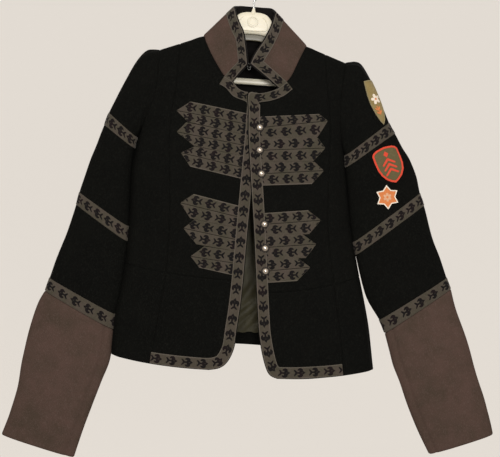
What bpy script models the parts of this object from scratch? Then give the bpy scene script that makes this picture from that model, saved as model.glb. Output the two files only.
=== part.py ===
"""Military-style jacket with a tall stand collar, hung on a moulded hanger.

Metres, +Z up. The origin is the inside top of the hanger's hook. The front faces -Y and the
wearer's right side is at -X. Every size below is in millimetres, and "across" is the distance
from the jacket's middle towards the side seam, so it is positive on both halves.
"""
import math

import bmesh
import bpy
import numpy as np
from mathutils import Matrix, Vector

MM = 0.001
SHARP_ANGLE = math.radians(40.0)

# Walls, seams and what lies on them
WOOL = 2.0
SEAM_GAP = 0.3
LAY_GAP = 0.3
RIBBON = 1.0
RIBBON_WIDTH = 21.0
NECK_RIBBON_WIDTH = 17.0
COLLAR_WALL = 3.0
THIN_CLOTH = 1.0
PATCH_THICKNESS = 1.4
BAND_OVERHANG = 6.0

# Plan section of the body: a flat oval, so the cloth turns round at the side seams. Normals
# turn away from a plane inside it that is narrower than the body by the inside share.
OVAL_POWER = 2.4
SIDE_ROUNDNESS = 1 / OVAL_POWER
INSIDE_SHARE = 0.3
ARMHOLE_DEPTH = 15.0
FRONT_LAP = 4.9
FRONT_LAP_FLAT = 32.0
FRONT_LAP_WIDTH = 85.0
FRONT_LAP_FROM_DEPTH = 30.0
FRONT_LAP_FULL_DEPTH = 38.0

RIGHT = -1
LEFT = 1
SIDE_NAMES = {RIGHT: "right", LEFT: "left"}

# One row for each level of a front, from the shoulder seam down to the hem: the inner edge
# (neckline, front edge, hem corner), the princess seam and the outer edge (armhole, side seam).
# bend is 1 where a level runs straight and 2 where it curves up to the side; steps is the
# number of mesh rows to the next level.
LEVEL_COLUMNS = ("inner", "inner_z", "inner_depth", "seam", "outer", "outer_z", "outer_depth",
                 "bend", "steps")
LEVEL_NAMES = ("shoulder", "ridge", "slope", "collar side", "collar front", "mitre",
               "collar end", "keyhole", "keyhole low", "front top", "chest", "underarm",
               "bust", "midriff", "waist", "peplum", "hip", "corner top", "corner",
               "corner low", "hem")
FRONT_LEVELS = {
    RIGHT: (
        (84.8, -110.0, 0.0, 128.0, 164.0, -139.0, 0.0, 1, 1),
        (84.5, -113.0, 6.5, 128.0, 164.0, -142.0, 7.5, 1, 1),
        (82.0, -120.0, 10.5, 128.1, 164.0, -149.5, 13.0, 1, 1),
        (73.6, -138.5, 17.0, 128.2, 163.7, -166.5, 18.5, 1, 2),
        (58.5, -165.0, 29.0, 128.6, 164.3, -189.0, 22.0, 1, 1),
        (45.0, -185.0, 36.5, 129.5, 165.5, -206.0, 23.5, 1, 1),
        (30.8, -193.0, 38.5, 130.5, 167.5, -218.0, 24.0, 1, 1),
        (18.6, -205.7, 40.0, 132.0, 171.0, -231.0, 23.5, 1, 1),
        (5.2, -210.6, 41.0, 134.0, 177.0, -245.0, 22.0, 1, 1),
        (-17.0, -213.0, 42.0, 136.0, 185.0, -262.0, 18.5, 1, 1),
        (-17.0, -245.0, 43.0, 137.0, 190.5, -277.5, 12.0, 1, 1),
        (-16.0, -285.0, 43.5, 137.0, 193.5, -288.0, 0.0, 1, 2),
        (-12.2, -365.0, 43.5, 133.5, 204.3, -360.0, 0.0, 1.2, 1),
        (-8.5, -440.0, 43.0, 130.0, 203.9, -432.0, 0.0, 1.5, 2),
        (-4.0, -540.0, 42.0, 132.0, 207.8, -519.5, 0.0, 2, 1),
        (-1.0, -584.0, 41.0, 138.0, 214.3, -568.0, 0.0, 2, 1),
        (3.5, -625.0, 40.0, 144.0, 222.0, -612.0, 0.0, 2, 1),
        (7.0, -657.0, 39.0, 148.5, 224.0, -651.0, 0.0, 2, 1),
        (17.0, -681.0, 38.0, 151.0, 224.2, -669.0, 0.0, 2, 1),
        (31.0, -693.0, 38.0, 152.3, 224.2, -677.5, 0.0, 2, 1),
        (50.5, -697.0, 38.0, 153.0, 224.2, -681.5, 0.0, 2, 1),
    ),
    LEFT: (
        (94.8, -120.0, 0.0, 130.7, 167.5, -147.5, 0.0, 1, 1),
        (94.5, -123.0, 6.5, 130.8, 167.5, -150.5, 7.5, 1, 1),
        (91.5, -130.0, 10.5, 131.0, 166.7, -159.5, 13.0, 1, 1),
        (84.1, -147.0, 17.0, 132.0, 165.5, -176.0, 18.5, 1, 2),
        (71.4, -177.4, 29.0, 134.5, 164.3, -198.5, 22.0, 1, 1),
        (62.5, -190.5, 36.5, 137.0, 163.6, -217.0, 23.5, 1, 1),
        (49.8, -201.4, 38.5, 138.5, 163.0, -230.0, 24.0, 1, 1),
        (32.4, -209.0, 40.0, 140.5, 163.0, -243.0, 23.5, 1, 1),
        (14.9, -212.7, 41.0, 142.0, 163.5, -257.0, 22.0, 1, 1),
        (-3.0, -212.5, 42.0, 143.5, 165.5, -275.0, 18.5, 1, 1),
        (-1.8, -245.0, 43.0, 144.5, 168.5, -292.5, 12.0, 1, 1),
        (0.0, -285.0, 43.5, 145.0, 171.0, -305.0, 0.0, 1, 2),
        (8.0, -365.0, 43.5, 145.0, 180.0, -370.0, 0.0, 1.2, 1),
        (16.5, -445.0, 43.0, 147.0, 189.6, -440.0, 0.0, 1.5, 2),
        (26.8, -558.0, 42.0, 162.0, 208.0, -525.0, 0.0, 2, 1),
        (30.0, -592.0, 41.0, 169.0, 218.7, -568.0, 0.0, 2, 1),
        (34.0, -628.0, 40.0, 176.0, 228.4, -612.0, 0.0, 2, 1),
        (41.0, -662.0, 39.0, 181.5, 234.7, -652.0, 0.0, 2, 1),
        (49.0, -688.0, 38.0, 183.5, 237.8, -673.0, 0.0, 2, 1),
        (57.0, -701.0, 38.0, 184.5, 239.4, -683.0, 0.0, 2, 1),
        (70.0, -706.5, 38.0, 185.0, 240.0, -687.5, 0.0, 2, 1),
    ),
}
CENTRE_PANEL_COLUMNS = 6
SIDE_PANEL_FRACTIONS = (0.35, 0.65, 0.88, 1.0)

# Back: its levels end at the fronts' outer edges, and its middle has heights and depths of its own
BACK_FRACTIONS = (0.0, 0.18, 0.36, 0.53, 0.74, 0.92, 1.0)
BACK_NECK_FRACTION = 0.53
BACK_NECK_Z = -118.0
BACK_UNDERARM_Z = -292.0
BACK_WAIST_Z = -528.0
BACK_HEM_Z = -656.0
BACK_NECK_ROWS = 6
BACK_LEVEL_BEND = 1.4
BACK_DEPTHS = ((-118.0, 29.0), (-180.0, 33.0), (-300.0, 32.0), (-528.0, 26.0), (-656.0, 31.0))
LINING_ROWS = (10, -4)
LINING_COLUMNS = (2, -2)
NECK_FACING_ROWS = 10
NECK_FACING_INSET = 1.0

# One row for each collar station of a half, from the front tip to the middle of the back: the
# part of the way along the neck seam, then the collar's top edge.
COLLAR_TOPS = {
    RIGHT: (
        (0.00, 7.0, 58.0, -166.0),
        (0.08, 9.3, 51.0, -147.0),
        (0.20, 16.0, 29.0, -108.0),
        (0.36, 29.0, 14.0, -78.0),
        (0.53, 35.5, -3.0, -55.5),
        (0.70, 29.0, -18.0, -52.5),
        (1.00, -3.0, -23.0, -52.5),
    ),
    LEFT: (
        (0.00, -0.5, 58.0, -164.5),
        (0.08, 6.0, 51.0, -147.5),
        (0.20, 25.0, 29.0, -112.0),
        (0.36, 35.0, 14.0, -85.0),
        (0.53, 40.0, -3.0, -60.0),
        (0.70, 33.5, -18.0, -54.5),
        (1.00, 3.0, -23.0, -52.5),
    ),
}
COLLAR_WALL_PARTS = (0.0, 0.35, 0.7)
COLLAR_BULGE = 1.0
COLLAR_LIFT = 0.3
COLLAR_TRIM_WIDTH = 19.0
COLLAR_TRIM_LIFT = 1.2

# One row for each ring of a sleeve: its outer fold, its inner fold, half its thickness, how far
# its middle bows towards the body, how deep its gathers are, and the mesh rows to the next ring.
SLEEVE_RINGS = {
    RIGHT: (
        (175.0, -140.0, 194.3, -289.2, 26.0, 11.0, 1.2, 1),
        (186.0, -143.0, 194.8, -290.3, 28.5, 9.0, 1.6, 1),
        (197.5, -154.0, 195.4, -291.4, 30.0, 7.0, 1.3, 1),
        (213.0, -177.5, 196.0, -292.5, 29.5, 4.5, 0.9, 1),
        (229.0, -209.5, 196.7, -293.8, 28.0, 2.0, 0.4, 1),
        (248.0, -254.5, 197.6, -296.0, 26.0, 0.0, 0.0, 1),
        (255.5, -276.0, 201.5, -315.5, 25.0, 0.0, 0.0, 1),
        (264.5, -301.5, 205.0, -342.0, 24.0, 0.0, 0.0, 1),
        (277.0, -337.5, 206.3, -382.5, 22.5, 0.0, 0.0, 1),
        (286.5, -368.0, 206.1, -418.0, 21.0, 0.0, 0.0, 1),
        (294.5, -397.0, 206.4, -453.5, 19.5, 0.0, 0.0, 1),
        (299.5, -418.5, 207.5, -480.0, 19.0, 0.0, 0.0, 1),
        (313.0, -469.0, 210.3, -523.0, 18.0, 0.0, 0.0, 1),
        (328.5, -512.0, 215.8, -567.5, 17.5, 0.0, 0.0, 1),
        (339.5, -551.0, 223.3, -609.5, 17.0, 0.0, 0.0, 1),
        (346.5, -573.5, 225.7, -637.0, 16.5, 0.0, 0.0, 0),
    ),
    LEFT: (
        (174.0, -146.0, 171.6, -306.2, 26.0, 11.0, 1.2, 1),
        (183.5, -144.5, 172.0, -307.0, 28.5, 9.0, 1.6, 1),
        (194.5, -148.5, 172.4, -307.8, 30.0, 7.0, 1.3, 1),
        (206.5, -165.5, 173.0, -308.6, 29.5, 4.5, 0.9, 1),
        (221.5, -193.0, 173.7, -309.6, 28.0, 2.0, 0.4, 1),
        (248.5, -250.0, 174.6, -312.0, 26.0, 0.0, 0.0, 1),
        (260.0, -268.0, 176.8, -333.0, 25.0, 0.0, 0.0, 1),
        (275.5, -293.5, 181.0, -364.5, 24.0, 0.0, 0.0, 1),
        (289.0, -314.0, 185.2, -396.5, 22.5, 0.0, 0.0, 1),
        (301.5, -342.0, 190.2, -431.5, 21.0, 0.0, 0.0, 1),
        (309.5, -371.5, 196.4, -463.5, 19.5, 0.0, 0.0, 1),
        (317.5, -392.5, 201.4, -486.0, 19.0, 0.0, 0.0, 1),
        (334.0, -446.5, 207.8, -516.0, 18.0, 0.0, 0.0, 1),
        (350.0, -483.0, 223.0, -561.5, 17.5, 0.0, 0.0, 1),
        (363.0, -519.0, 247.0, -599.0, 17.0, 0.0, 0.0, 1),
        (371.0, -538.0, 257.5, -621.5, 16.5, 0.0, 0.0, 0),
    ),
}
CUFF_RINGS = {
    RIGHT: (
        (346.6, -573.9, 225.8, -637.4, 16.5, 0.0, 0.0, 1),
        (360.0, -599.0, 227.3, -665.5, 16.0, 0.0, 0.0, 1),
        (372.5, -642.0, 230.0, -699.5, 15.5, 0.0, 0.0, 1),
        (381.5, -695.5, 242.0, -737.5, 15.0, 0.0, 0.0, 1),
        (389.0, -749.0, 256.0, -779.0, 14.5, 0.0, 0.0, 1),
        (401.0, -792.5, 270.0, -822.0, 14.0, 0.0, 0.0, 1),
        (413.0, -832.0, 282.5, -867.0, 13.5, 0.0, 0.0, 0),
    ),
    LEFT: (
        (371.2, -538.35, 257.7, -621.85, 16.5, 0.0, 0.0, 1),
        (380.0, -565.0, 267.0, -652.0, 16.0, 0.0, 0.0, 1),
        (396.5, -607.0, 275.5, -680.0, 15.5, 0.0, 0.0, 1),
        (412.5, -649.0, 288.0, -708.0, 15.0, 0.0, 0.0, 1),
        (428.0, -696.0, 303.0, -746.0, 14.5, 0.0, 0.0, 1),
        (445.0, -743.5, 323.0, -790.0, 14.0, 0.0, 0.0, 1),
        (458.0, -792.5, 346.0, -833.0, 13.5, 0.0, 0.0, 0),
    ),
}
SLEEVE_START_GAP = 0.25
SLEEVE_SQUARENESS = 0.83
EVEN_RING = 8
BAND_RINGS = {"upper": 6, "lower": 11, "cuff": 15}

# One row for each frog, from the top: the heights of its upper and lower edge at the trim, then
# how far across and how high its pointed tip, its upper corner and its lower corner lie.
FROGS = {
    RIGHT: (
        (-248.5, -286.0, 125.5, -248.5, 102.0, -232.0, 105.5, -267.5),
        (-286.0, -323.0, 123.5, -286.0, 108.0, -268.5, 92.5, -309.0),
        (-323.0, -362.5, 114.5, -322.0, 91.5, -310.0, 97.5, -345.5),
        (-409.0, -448.0, 111.5, -409.0, 89.0, -392.5, 93.5, -432.5),
        (-448.0, -488.0, 104.0, -453.0, 86.0, -437.0, 80.5, -479.5),
        (-488.0, -530.0, 89.5, -501.0, 67.0, -482.5, 73.5, -520.0),
    ),
    LEFT: (
        (-254.0, -292.5, 138.0, -254.0, 122.0, -243.0, 121.5, -281.5),
        (-292.5, -332.0, 135.5, -302.0, 119.5, -284.0, 114.5, -326.0),
        (-332.0, -373.0, 134.5, -341.5, 118.0, -328.0, 114.5, -366.0),
        (-420.0, -459.0, 133.0, -428.0, 110.0, -411.5, 114.0, -452.0),
        (-459.0, -499.5, 127.0, -470.0, 103.0, -454.5, 110.0, -494.0),
        (-499.5, -540.5, 118.5, -510.5, 96.0, -496.0, 96.5, -535.5),
    ),
}
FROG_SEAM = 0.5
TRIM_INNER = 21.6
CUT_RANGE = (10.0, 90.0)
FRONT_VIEW = Matrix.Rotation(math.radians(90.0), 4, "X")

# Buttons on the left front's trim: across and height of each, then one turned profile
BUTTONS = ((20.0, -273.0), (21.5, -312.0), (26.5, -352.5), (35.5, -439.5), (38.5, -481.0),
           (41.0, -520.5))
BUTTON_PROFILE = ((0.0, 0.0), (3.4, 0.0), (3.4, 1.0), (5.6, 1.3), (5.5, 2.4), (4.6, 4.0),
                  (2.6, 5.3), (0.0, 5.7))
BUTTON_SIDES = 12
BUTTON_LIFT = 0.5

# Patches on the left sleeve: ring and column where the middle lies, and the outline (right, up)
SHIELD = ((-21.5, 22.0), (-13.0, 29.0), (0.0, 31.5), (13.0, 29.0), (21.5, 22.0), (20.0, 8.0),
          (22.0, -6.0), (15.0, -22.0), (0.0, -34.0), (-15.0, -22.0), (-22.0, -6.0), (-20.0, 8.0))
PENNANT = ((-15.0, 41.0), (15.0, 41.0), (15.0, -8.0), (9.5, -27.0), (0.0, -42.0), (-9.5, -27.0),
           (-15.0, -8.0))
STAR_POINTS = 6
STAR_RADII = (21.5, 14.0)
STAR_TURN = math.radians(9.0)
PATCH_PLACES = {"pennant_patch": (5.15, 2.6), "shield_patch": (8.35, 4.8), "star_patch": (9.95, 5.8)}
PATCH_REACH = 16.0

# Hanger: its outline and its window, from the middle of the top, round the tip and along the bar
HANGER_SECTIONS = (
    (0.0, -65.0, 0.0, -104.0, 5.5),
    (16.0, -66.0, 14.0, -104.5, 5.5),
    (28.0, -72.0, 25.0, -107.0, 5.5),
    (41.0, -90.0, 39.0, -113.5, 5.5),
    (60.0, -109.5, 58.0, -124.5, 5.5),
    (80.0, -120.8, 76.0, -133.5, 5.5),
    (100.0, -125.2, 95.0, -140.0, 5.5),
    (125.0, -131.8, 119.0, -148.0, 5.5),
    (147.0, -141.0, 135.5, -157.5, 5.5),
    (154.5, -150.0, 139.5, -162.5, 5.0),
    (153.0, -165.0, 138.5, -168.0, 4.5),
    (140.0, -181.0, 131.0, -174.0, 4.0),
    (115.0, -189.5, 112.0, -179.0, 4.0),
    (60.0, -193.0, 60.0, -182.0, 4.0),
    (0.0, -193.5, 0.0, -182.5, 4.0),
)
HANGER_TILT = math.radians(1.5)
HANGER_PIVOT_Z = -58.0
HANGER_SECTION_SIDES = 8
HANGER_SQUARENESS = 0.7
NECK_PROFILE = ((0.0, -66.5), (9.0, -66.5), (8.0, -62.0), (4.5, -57.5), (3.2, -52.0), (0.0, -52.0))
NECK_SIDES = 16
HOOK_WIRE = 1.8
HOOK_RADIUS = 19.0
HOOK_ROUTE_START = ((0.0, -51.5), (0.0, -46.0), (2.5, -42.0), (9.0, -38.0))
HOOK_ANGLES = (-52.0, 205.0)
HOOK_STEPS = 16

# Hook and eye behind the collar's tips: the eye's loop hangs from the right tip, and the hook
# comes from the left one and bends back through it.
CLASP_WIRE = 0.6
CLASP_ROUTES = {
    "clasp_eye": ((-7.7, -49.2, -163.0), (-5.9, -51.5, -166.4), (-5.6, -51.5, -170.0),
                  (-5.0, -51.8, -173.4), (-3.2, -52.0, -174.6), (-1.4, -51.8, -173.4),
                  (-0.7, -51.5, -170.0), (-1.0, -51.0, -166.5), (-3.5, -50.0, -163.8),
                  (-7.2, -48.4, -161.4)),
    "clasp_hook": ((3.9, -49.9, -162.3), (2.2, -51.5, -166.3), (0.5, -52.6, -169.5),
                   (-1.5, -53.6, -170.5), (-3.2, -53.0, -170.6), (-3.2, -51.5, -170.4),
                   (-3.2, -50.2, -169.4), (-3.2, -49.4, -167.6)),
}

COLOURS = {
    "black_wool": ((0.012, 0.013, 0.012), 0.95, 0.0),
    "mauve_wool": ((0.105, 0.072, 0.064), 0.95, 0.0),
    "ribbon": ((0.125, 0.108, 0.092), 0.7, 0.0),
    "lining": ((0.060, 0.064, 0.040), 0.4, 0.0),
    "dark_facing": ((0.016, 0.014, 0.013), 0.8, 0.0),
    "pennant_patch": ((0.180, 0.140, 0.070), 0.8, 0.0),
    "shield_patch": ((0.450, 0.060, 0.030), 0.7, 0.0),
    "star_patch": ((0.550, 0.120, 0.040), 0.7, 0.0),
    "pewter": ((0.480, 0.460, 0.430), 0.35, 1.0),
    "ivory_plastic": ((0.800, 0.760, 0.660), 0.35, 0.0),
    "steel_wire": ((0.550, 0.550, 0.550), 0.3, 1.0),
}


def clear_scene():
    for thing in list(bpy.data.objects):
        bpy.data.objects.remove(thing, do_unlink=True)


def make_materials():
    materials = {}
    for name, (colour, roughness, metallic) in COLOURS.items():
        material = bpy.data.materials.new(name)
        material.use_nodes = True
        shader = material.node_tree.nodes["Principled BSDF"]
        shader.inputs["Base Color"].default_value = (*colour, 1.0)
        shader.inputs["Roughness"].default_value = roughness
        shader.inputs["Metallic"].default_value = metallic
        material.diffuse_color = (*colour, 1.0)
        materials[name] = material
    return materials


def add_object(name, shape, material=None):
    thing = bpy.data.objects.new(name, shape)
    bpy.context.scene.collection.objects.link(thing)
    if material:
        shape.materials.append(material)
    return thing


def add_guide(name, mesh):
    guide = add_object(name, mesh)
    guide.hide_render = True
    guide.display_type = "WIRE"
    return guide


def mesh_from(name, points, faces, smooth=True):
    """A mesh from points in millimetres, with its faces turned outwards."""
    mesh = bpy.data.meshes.new(name)
    mesh.from_pydata([Vector(p) * MM for p in points], [], faces)
    form = bmesh.new()
    form.from_mesh(mesh)
    bmesh.ops.recalc_face_normals(form, faces=form.faces)
    form.to_mesh(mesh)
    form.free()
    if smooth:
        mesh.shade_smooth()
        mesh.set_sharp_from_angle(angle=SHARP_ANGLE)
    return mesh


def catmull_rom(a, b, c, d, t):
    return 0.5 * (2 * b + (c - a) * t + (2 * a - 5 * b + 4 * c - d) * t ** 2
                  + (3 * b - a - 3 * c + d) * t ** 3)


def smooth_levels(table):
    """The rows of a table with its steps filled in, without the steps column."""
    rows = np.array([row[:-1] for row in table], float)
    filled = []
    for index, row in enumerate(table[:-1]):
        steps = row[-1]
        before = rows[max(index - 1, 0)]
        after = rows[min(index + 2, len(rows) - 1)]
        for step in range(steps):
            filled.append(catmull_rom(before, rows[index], rows[index + 1], after, step / steps))
    filled.append(rows[-1])
    return np.array(filled)


def front_levels(side):
    levels = smooth_levels(FRONT_LEVELS[side])
    depth = LEVEL_COLUMNS.index("outer_depth")
    levels[:, depth] = np.maximum(levels[:, depth], 0.0)
    return levels


def row_of(side, level_name):
    """The mesh row at which a named level of a front lies."""
    index = LEVEL_NAMES.index(level_name)
    return sum(row[-1] for row in FRONT_LEVELS[side][:index])


def unit(vectors):
    return vectors / np.maximum(np.linalg.norm(vectors, axis=-1, keepdims=True), 1e-9)


def grid_normals(points, inside, closed=False):
    """Unit normals of a grid of points, turned away from the points inside it."""
    down = np.gradient(points, axis=0)
    if closed:
        around = np.roll(points, -1, axis=1) - np.roll(points, 1, axis=1)
    else:
        around = np.gradient(points, axis=1)
    normals = unit(np.cross(down, around))
    if np.sum(normals * (points - inside)) < 0:
        normals = -normals
    return normals


def flatten_normals(normals):
    """Turns the normals along a fold into the plane of the fold."""
    flat = normals.copy()
    flat[..., 1] = 0.0
    return unit(flat)


def inset(points, closed=False, amount=SEAM_GAP / 2):
    """Draws the edges of a panel in, so that it stands clear of the panels beside it."""
    moved = points.copy()
    moved[0] += unit(points[1] - points[0]) * amount
    moved[-1] += unit(points[-2] - points[-1]) * amount
    if not closed:
        moved[:, 0] += unit(points[:, 1] - points[:, 0]) * amount
        moved[:, -1] += unit(points[:, -2] - points[:, -1]) * amount
    return moved


def cell_corners(row, column, columns):
    across = (column + 1) % columns
    return (row, column), (row, across), (row + 1, across), (row + 1, column)


def wall_mesh(name, outer, inner, closed=False, cells=None):
    """A closed wall between two grids of points, over all their cells or the chosen ones."""
    rows, columns = outer.shape[:2]
    spans = columns if closed else columns - 1
    if cells is None:
        cells = np.ones((rows - 1, spans), bool)
    points = []
    numbers = {}
    faces = []
    edges = {}

    def number(corner, layer):
        key = (*corner, layer)
        if key not in numbers:
            numbers[key] = len(points)
            points.append((outer if layer == 0 else inner)[corner])
        return numbers[key]

    for row in range(rows - 1):
        for column in range(spans):
            if not cells[row, column]:
                continue
            corners = cell_corners(row, column, columns)
            a, b, c, d = (number(corner, 0) for corner in corners)
            faces += [(a, b, c), (a, c, d)]
            a, b, c, d = (number(corner, 1) for corner in corners)
            faces += [(c, b, a), (d, c, a)]
            for start, end in zip(corners, corners[1:] + corners[:1]):
                if (end, start) in edges:
                    del edges[(end, start)]
                else:
                    edges[(start, end)] = True
    for start, end in edges:
        a, b = number(start, 0), number(end, 0)
        c, d = number(end, 1), number(start, 1)
        faces += [(b, a, d), (b, d, c)]
    return mesh_from(name, points, faces)


def add_wall(name, points, normals, material, outside=0.0, thickness=WOOL, closed=False,
             cells=None):
    """A wall of cloth whose outer face lies outside the points by the given distance."""
    outer = points + normals * outside
    inner = points + normals * (outside - thickness)
    return add_object(name, wall_mesh(name, outer, inner, closed, cells), material)


def oval(share, power):
    return np.power(np.maximum(1 - np.power(np.abs(share), OVAL_POWER), 0.0), power)


def side_power(outer_depth):
    """The oval's power: round at a side seam, and flatter the deeper an armhole's edge lies."""
    armhole = min(outer_depth / ARMHOLE_DEPTH, 1.0)
    return SIDE_ROUNDNESS + (1 - SIDE_ROUNDNESS) * armhole


def squared_circle(angles, squareness):
    """Cosines and sines of a circle whose corners are filled out as the squareness falls to 0."""
    cosine, sine = np.cos(angles), np.sin(angles)
    return (np.sign(cosine) * np.abs(cosine) ** squareness,
            np.sign(sine) * np.abs(sine) ** squareness)


def front_grid(side):
    """The outer surface of one front, a row for each level and a column for each width."""
    levels = front_levels(side)
    centre = np.linspace(0.0, 1.0, CENTRE_PANEL_COLUMNS + 1)
    rows = []
    for inner, inner_z, inner_depth, seam, outer, outer_z, outer_depth, bend in levels:
        across = np.concatenate([inner + (seam - inner) * centre,
                                 seam + (outer - seam) * np.array(SIDE_PANEL_FRACTIONS)])
        power = side_power(outer_depth)
        shape = oval(across / outer, power) / oval(inner / outer, power)
        depth = outer_depth + (inner_depth - outer_depth) * shape
        if side == LEFT:
            ramp = np.clip((FRONT_LAP_WIDTH - (across - inner))
                           / (FRONT_LAP_WIDTH - FRONT_LAP_FLAT), 0.0, 1.0)
            fade = np.interp(inner_depth, (FRONT_LAP_FROM_DEPTH, FRONT_LAP_FULL_DEPTH), (0.0, 1.0))
            depth = depth + FRONT_LAP * fade * ramp * ramp * (3 - 2 * ramp)
        part = (across - inner) / (outer - inner)
        height = inner_z + (outer_z - inner_z) * np.power(part, bend)
        rows.append(np.stack([side * across, -depth, height], axis=1))
    return np.array(rows)


def body_inside(points):
    """The line inside a panel of the body that its normals turn away from."""
    inside = points.copy()
    inside[..., 0] *= INSIDE_SHARE
    inside[..., 1] = 0.0
    return inside


def front_normals(side, points):
    normals = grid_normals(points, body_inside(points))
    normals[0] = flatten_normals(normals[0])
    below = row_of(side, "underarm")
    normals[below:, -1] = flatten_normals(normals[below:, -1])
    return normals


def back_half(side):
    """Half of the back's outer surface, from its middle to the armhole and side seam.

    Its top row follows the neck and the shoulder seam; the rows below settle into plain ovals.
    """
    inner, inner_z, _, _, outer, outer_z, outer_depth, bend = front_levels(side).T
    share = np.array(BACK_FRACTIONS)
    on_neck = share < BACK_NECK_FRACTION
    neck = np.sqrt(np.maximum(1 - (share / BACK_NECK_FRACTION) ** 2, 0.0))
    shoulder = np.clip((share - BACK_NECK_FRACTION) / (1 - BACK_NECK_FRACTION), 0.0, 1.0)
    top_across = np.where(on_neck, inner[0] * share / BACK_NECK_FRACTION,
                          inner[0] + (outer[0] - inner[0]) * shoulder)
    top_z = np.where(on_neck, inner_z[0] + (BACK_NECK_Z - inner_z[0]) * neck,
                     inner_z[0] + (outer_z[0] - inner_z[0]) * shoulder)
    known = [0, row_of(side, "underarm"), row_of(side, "waist"), -1]
    middle_z = np.interp(-outer_z, -outer_z[known],
                         [BACK_NECK_Z, BACK_UNDERARM_Z, BACK_WAIST_Z, BACK_HEM_Z])
    heights, depths = np.array(BACK_DEPTHS).T
    middle_depth = np.interp(-middle_z, -heights, depths)
    rows = []
    for row in range(len(outer)):
        settled = min(row / BACK_NECK_ROWS, 1.0)
        settled = settled * settled * (3 - 2 * settled)
        shape = settled * oval(share, side_power(outer_depth[row])) + (1 - settled) * neck
        depth = outer_depth[row] + (middle_depth[row] - outer_depth[row]) * shape
        across = ((1 - settled) * (top_across + (outer[row] - outer[0]) * share)
                  + settled * outer[row] * share)
        level = (middle_z[row]
                 + (outer_z[row] - middle_z[row]) * share ** max(bend[row], BACK_LEVEL_BEND))
        height = (1 - settled) * (top_z + outer_z[row] - outer_z[0]) + settled * level
        rows.append(np.stack([side * across, depth, height], axis=1))
    return np.array(rows)


def back_grid():
    right = back_half(RIGHT)[:, ::-1]
    left = back_half(LEFT)
    middle = (right[:, -1:] + left[:, :1]) / 2
    return np.concatenate([right[:, :-1], middle, left[:, 1:]], axis=1)


def back_normals(points):
    normals = grid_normals(points, body_inside(points))
    seam = BACK_FRACTIONS.index(BACK_NECK_FRACTION)
    shoulder = len(BACK_FRACTIONS) - seam
    for columns in (slice(0, shoulder), slice(-shoulder, None)):
        normals[0, columns] = flatten_normals(normals[0, columns])
    below = row_of(RIGHT, "underarm")
    for column in (0, -1):
        normals[below:, column] = flatten_normals(normals[below:, column])
    return normals


def add_fronts(materials, grids):
    """The two fronts, each in four panels parted at the princess and waist seams."""
    for side, (points, normals) in grids.items():
        name = SIDE_NAMES[side]
        waist = row_of(side, "waist")
        seam = CENTRE_PANEL_COLUMNS
        panels = {
            "front_centre": (slice(0, waist + 1), slice(0, seam + 1)),
            "front_side": (slice(0, waist + 1), slice(seam, None)),
            "peplum_front": (slice(waist, None), slice(0, seam + 1)),
            "peplum_side": (slice(waist, None), slice(seam, None)),
        }
        for panel, (rows, columns) in panels.items():
            add_wall(f"{name}_{panel}", inset(points[rows, columns]), normals[rows, columns],
                     materials["black_wool"])


def add_back(materials, points, normals):
    """The back above and below the waist seam, its lining and the facing behind the neck."""
    waist = row_of(RIGHT, "waist")
    add_wall("back", inset(points[:waist + 1]), normals[:waist + 1], materials["black_wool"])
    add_wall("back_peplum", inset(points[waist:]), normals[waist:], materials["black_wool"])
    seam = len(BACK_FRACTIONS) - 1 - BACK_FRACTIONS.index(BACK_NECK_FRACTION)
    rows = slice(0, NECK_FACING_ROWS)
    columns = slice(seam + 1, -seam - 1)
    facing = inset(points[rows, columns], amount=NECK_FACING_INSET)
    add_wall("neck_facing", facing, normals[rows, columns], materials["dark_facing"],
             -WOOL - LAY_GAP, THIN_CLOTH)
    rows = slice(*LINING_ROWS)
    columns = slice(*LINING_COLUMNS)
    add_wall("back_lining", points[rows, columns], normals[rows, columns],
             materials["lining"], -WOOL - LAY_GAP, THIN_CLOTH)


def armhole_ring(front, back, outer_column, side):
    """The body's armhole edge as a closed ring: down the front edge and up the back one."""
    underarm = row_of(side, "underarm")
    front_edge = front[:underarm + 1, -1]
    back_edge = back[underarm - 1:0:-1, outer_column]
    ring = np.concatenate([front_edge, back_edge])
    ring[0, 1] = 0.0
    ring[underarm, 1] = 0.0
    return ring


def ring_points(side, ring, angles):
    """One ring of a sleeve: a flat oval between its outer and inner folds."""
    outer, outer_z, inner, inner_z, depth, bow, gather = ring
    fold_out = np.array([side * outer, 0.0, outer_z])
    fold_in = np.array([side * inner, 0.0, inner_z])
    middle = (fold_out + fold_in) / 2
    reach = (fold_out - fold_in) / 2
    wide, thick = squared_circle(angles, SLEEVE_SQUARENESS)
    points = middle + wide[:, None] * reach
    points[:, 0] -= side * bow * np.sin(angles) ** 2
    points[:, 1] = -thick * depth
    pleat = gather * np.where(np.arange(len(angles)) % 2, -1.0, 1.0)
    pleat = pleat * np.maximum(np.cos(angles / 2), 0.0) ** 2
    return points + unit(points - middle) * pleat[:, None]


def sleeve_grid(side, rings, start_ring=None):
    """A sleeve's or cuff's outer surface, from the armhole's own points where it has them."""
    levels = smooth_levels(rings)
    count = 2 * row_of(side, "underarm")
    even = np.arange(count) * 2 * math.pi / count
    rows = []
    angles = even
    if start_ring is not None:
        top, bottom = start_ring[0], start_ring[count // 2]
        share = (start_ring - top) @ (bottom - top) / np.sum((bottom - top) ** 2)
        start = np.arccos(np.clip(1 - 2 * share, -1.0, 1.0))
        start[count // 2 + 1:] = 2 * math.pi - start[count // 2 + 1:]
        rows.append(start_ring + np.array([side * SLEEVE_START_GAP, 0.0, 0.0]))
    for index, ring in enumerate(levels):
        if start_ring is not None:
            settled = min((index + 1) / EVEN_RING, 1.0)
            angles = start * (1 - settled) + even * settled
        rows.append(ring_points(side, ring, angles))
    points = np.array(rows)
    middles = np.repeat(points.mean(axis=1, keepdims=True), count, axis=1)
    return points, grid_normals(points, middles, closed=True)


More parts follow.
